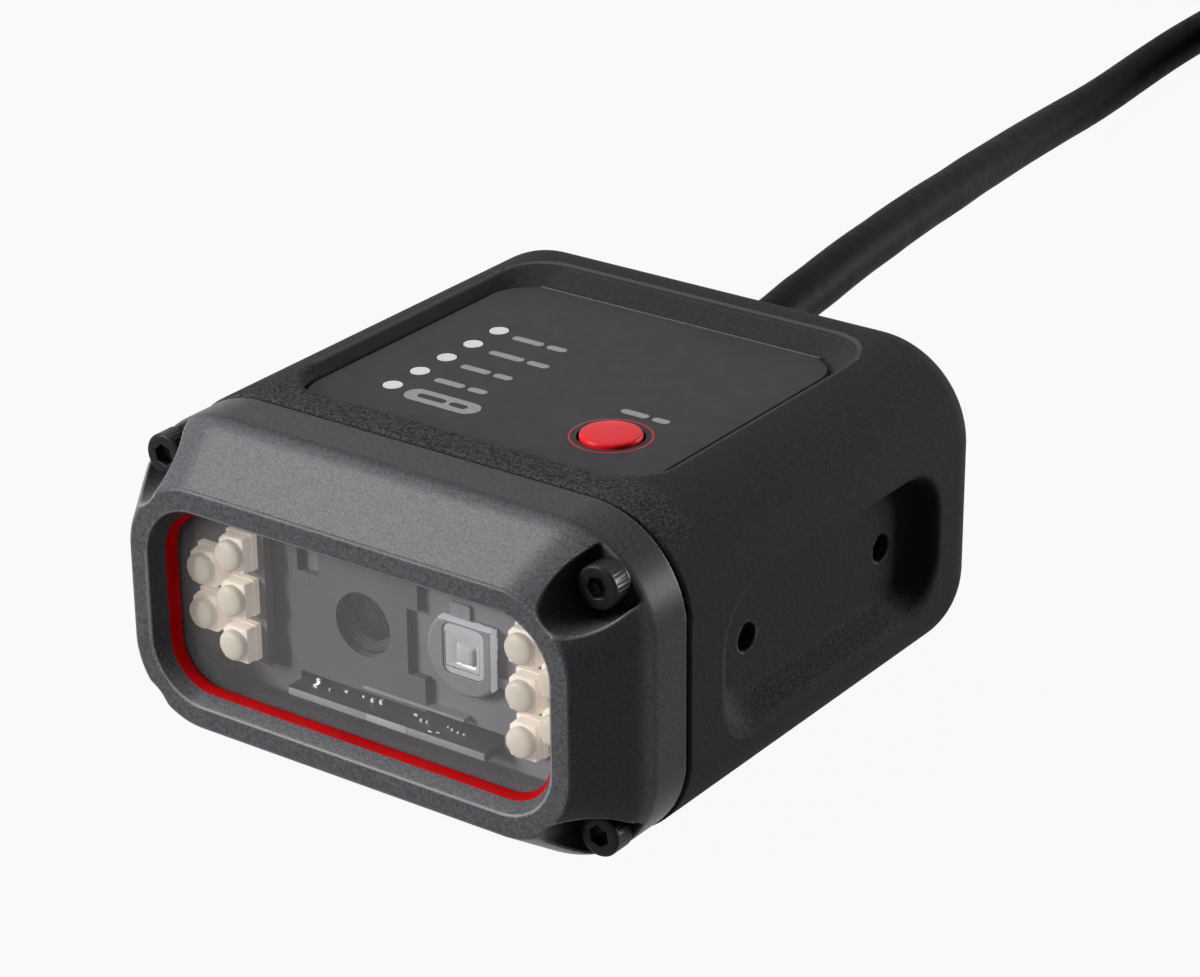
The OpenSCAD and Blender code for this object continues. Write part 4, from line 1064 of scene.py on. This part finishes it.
def makeMarks(b):
    z0, z1 = b["labelZ"] - b["sink"], b["labelZ"] + b["thick"]
    forms = []

    def plate(x, y, halfU, halfV, top, slot):
        ring = rectRing(halfU, halfV, min(halfU, halfV) - b["sharp"], steps=b["steps"])
        forms.append(loft([lying(ring, x, y, z) for z in (z0, top)], slot=slot))

    def dashes(x0, x1, y, half, top, slot):
        split = x0 + (x1 - x0 - b["gap"]) * b["share"]
        for a, c in ((x0, split), (split + b["gap"], x1)):
            plate((a + c) / 2, y, (c - a) / 2, half, top, slot)

    for x0, x1, y in b["bars"]:
        dashes(x0, x1, y, b["barHalf"], z1, 0)
    plate(*b["pill"], z1, 0)
    (x, y), (reach, half) = b["pill"][:2], b["pillMark"]
    dashes(x - reach, x + reach, y, half, z1 + b["over"], 1)
    # painted highlight: a pale strip along the label's back edge
    plate(*b["backGlintStrip"], z1, 3)
    ringIn, ringOut = b["ring"]
    ring = [(ringIn, z0), (ringIn, z1), (ringOut, z1), (ringOut, z0)]
    forms.append(loft(turned(ring, b["ringSides"], (*button["centre"], 0), "z"), band=True, slot=2))
    return assemble("labelPrint", forms, "printWhite", "labelFilm", "printRed", "labelBackGlint")


carry(makeMarks(marks), "label_plastic")
print("label printed")


# strain relief: a collar at the housing's back, then ribs that thin out towards the cable

relief = dict(
    centre=(-14.0, 68.0, 18.0), collarR=5.7, collarT=1.6, neckR=4.75, innerY=-4.1, wallY=-2.5, endR=3.7,
    length=20.0, ribs=7, perRib=10, ribDeep=0.42, bore=2.99, edge=0.25, soft=(0.35, 0.1), gap=0.3, sides=48,
    sharp=50.0)


def makeRelief(b):
    collar, thick, edge, (soft, corner) = b["collarR"], b["collarT"], b["edge"], b["soft"]
    profile = [(b["bore"], b["innerY"]), (collar, b["innerY"]), (collar, b["wallY"]),
               (b["neckR"], b["wallY"]), (b["neckR"], 0.0), (collar - edge, 0.0), (collar, edge),
               (collar, thick - soft), (collar - corner, thick - corner), (collar - soft, thick)]
    start, count = thick + b["gap"], b["ribs"] * b["perRib"]
    for i in range(count + 1):
        t = i / count
        rib = 0.5 - 0.5 * math.cos(2 * math.pi * b["ribs"] * t)
        r = blend((b["neckR"], b["endR"]), t) - b["ribDeep"] * (rib ** 2) * (1 - 0.5 * t)
        profile.append((r, start + (b["length"] - b["gap"] - start) * t))
    profile += [(b["endR"] - edge, b["length"]), (b["bore"], b["length"])]
    form = loft(turned(profile, b["sides"], b["centre"]), band=True)
    return assemble("strainRelief", [form], "blackRubber", sharp=b["sharp"])


strainRelief = carry(makeRelief(relief), "black_rubber", "cable_gland")
print("strain relief moulded")


# connector at the far end: moulded body with grip flutes and a knurled nut, pointing towards the reader

plug = dict(
    centre=(38.0, 244.0, 7.3), neckR=3.8, bodyR=6.0, neckEnd=9.0, neckIn=0.8, rise=2.0, riseMid=(0.15, 1.4),
    # rings of the neck: count, first and pitch; one ring as changes of radius and place
    neckRings=(4, 1.2, 1.9), neckRing=[(0.0, 0.0), (-0.3, 0.25), (-0.3, 0.75), (0.2, 1.0)],
    cuts=11, cutPitch=0.4, step=16.0, stepEdge=0.3, insertR=4.2, insertEdge=0.2, length=26.0, sides=96,
    sharp=45.0, flutes=12, fluteDeep=0.35, fluteStart=11.4, fluteFade=0.8)


def makePlug(b):
    def flute(t, a):
        wide = b["fluteFade"]
        lift = fade(-t - b["fluteStart"], wide) * fade(b["step"] - wide + t, wide)
        return -b["fluteDeep"] * lift * (0.5 + 0.5 * math.cos(b["flutes"] * a)) ** 2

    neck, wide, neckEnd = b["neckR"], b["bodyR"], -b["neckEnd"]
    body = [(neck, 0.0)]
    count, first, pitch = b["neckRings"]
    for i in range(count):  # flexible neck with shallow rings
        y = first + i * pitch
        r = neck + (wide - b["neckIn"] - neck) * y / b["neckEnd"]
        body += [(r + dr, -y - dy) for dr, dy in b["neckRing"]]
    body += [(wide - b["neckIn"], neckEnd), (wide - b["riseMid"][0], neckEnd - b["riseMid"][1]),
             (wide, neckEnd - b["rise"])]
    body += [(wide, neckEnd - b["rise"] - b["cutPitch"] - b["cutPitch"] * i) for i in range(b["cuts"])]
    body += [(wide - b["stepEdge"], -b["step"]), (b["insertR"], -b["step"]),
             (b["insertR"], -b["length"] + b["insertEdge"]), (b["insertR"] - b["insertEdge"], -b["length"])]
    form = loft(turned(body, b["sides"], b["centre"], wave=flute))
    return assemble("plugBody", [form], "darkPlastic", sharp=b["sharp"])


nut = dict(r=7.19, over=4.0, edge=0.8, bore=4.4, boreEdge=0.4, cuts=30, sides=216, sharp=30.0,
           knurls=36, knurlDeep=0.3, knurlFade=0.3, knurlFirst=0.2, knurlLast=2.6)


def makeNut(b, body):
    start, edge = body["step"], b["edge"]
    first, last = start + edge, body["length"] + b["over"] - edge

    def knurl(t, a):
        wide = b["knurlFade"]
        lift = fade(-t - first - b["knurlFirst"], wide) * fade(last - b["knurlLast"] + t, wide)
        return -b["knurlDeep"] * lift * (0.5 - 0.5 * math.cos(b["knurls"] * a))

    outer = [(b["r"] - edge, -start), (b["r"], -first)]
    outer += [(b["r"], -first - (last - first) * i / b["cuts"]) for i in range(1, b["cuts"])]
    outer += [(b["r"], -last), (b["r"] - edge, -last - edge)]
    bore = [(b["bore"] + b["boreEdge"], -last - edge), (b["bore"], -last), (b["bore"], -start)]
    form = loft(turned(outer + bore, b["sides"], body["centre"], wave=knurl), band=True)
    return assemble("plugNut", [form], "steel", sharp=b["sharp"])


plugBody = carry(makePlug(plug), "dark_plastic", "connector_body")
plugNut = carry(makeNut(nut, plug), "screw_steel", "connector_nut")
print("connector made")


print("scene ready")
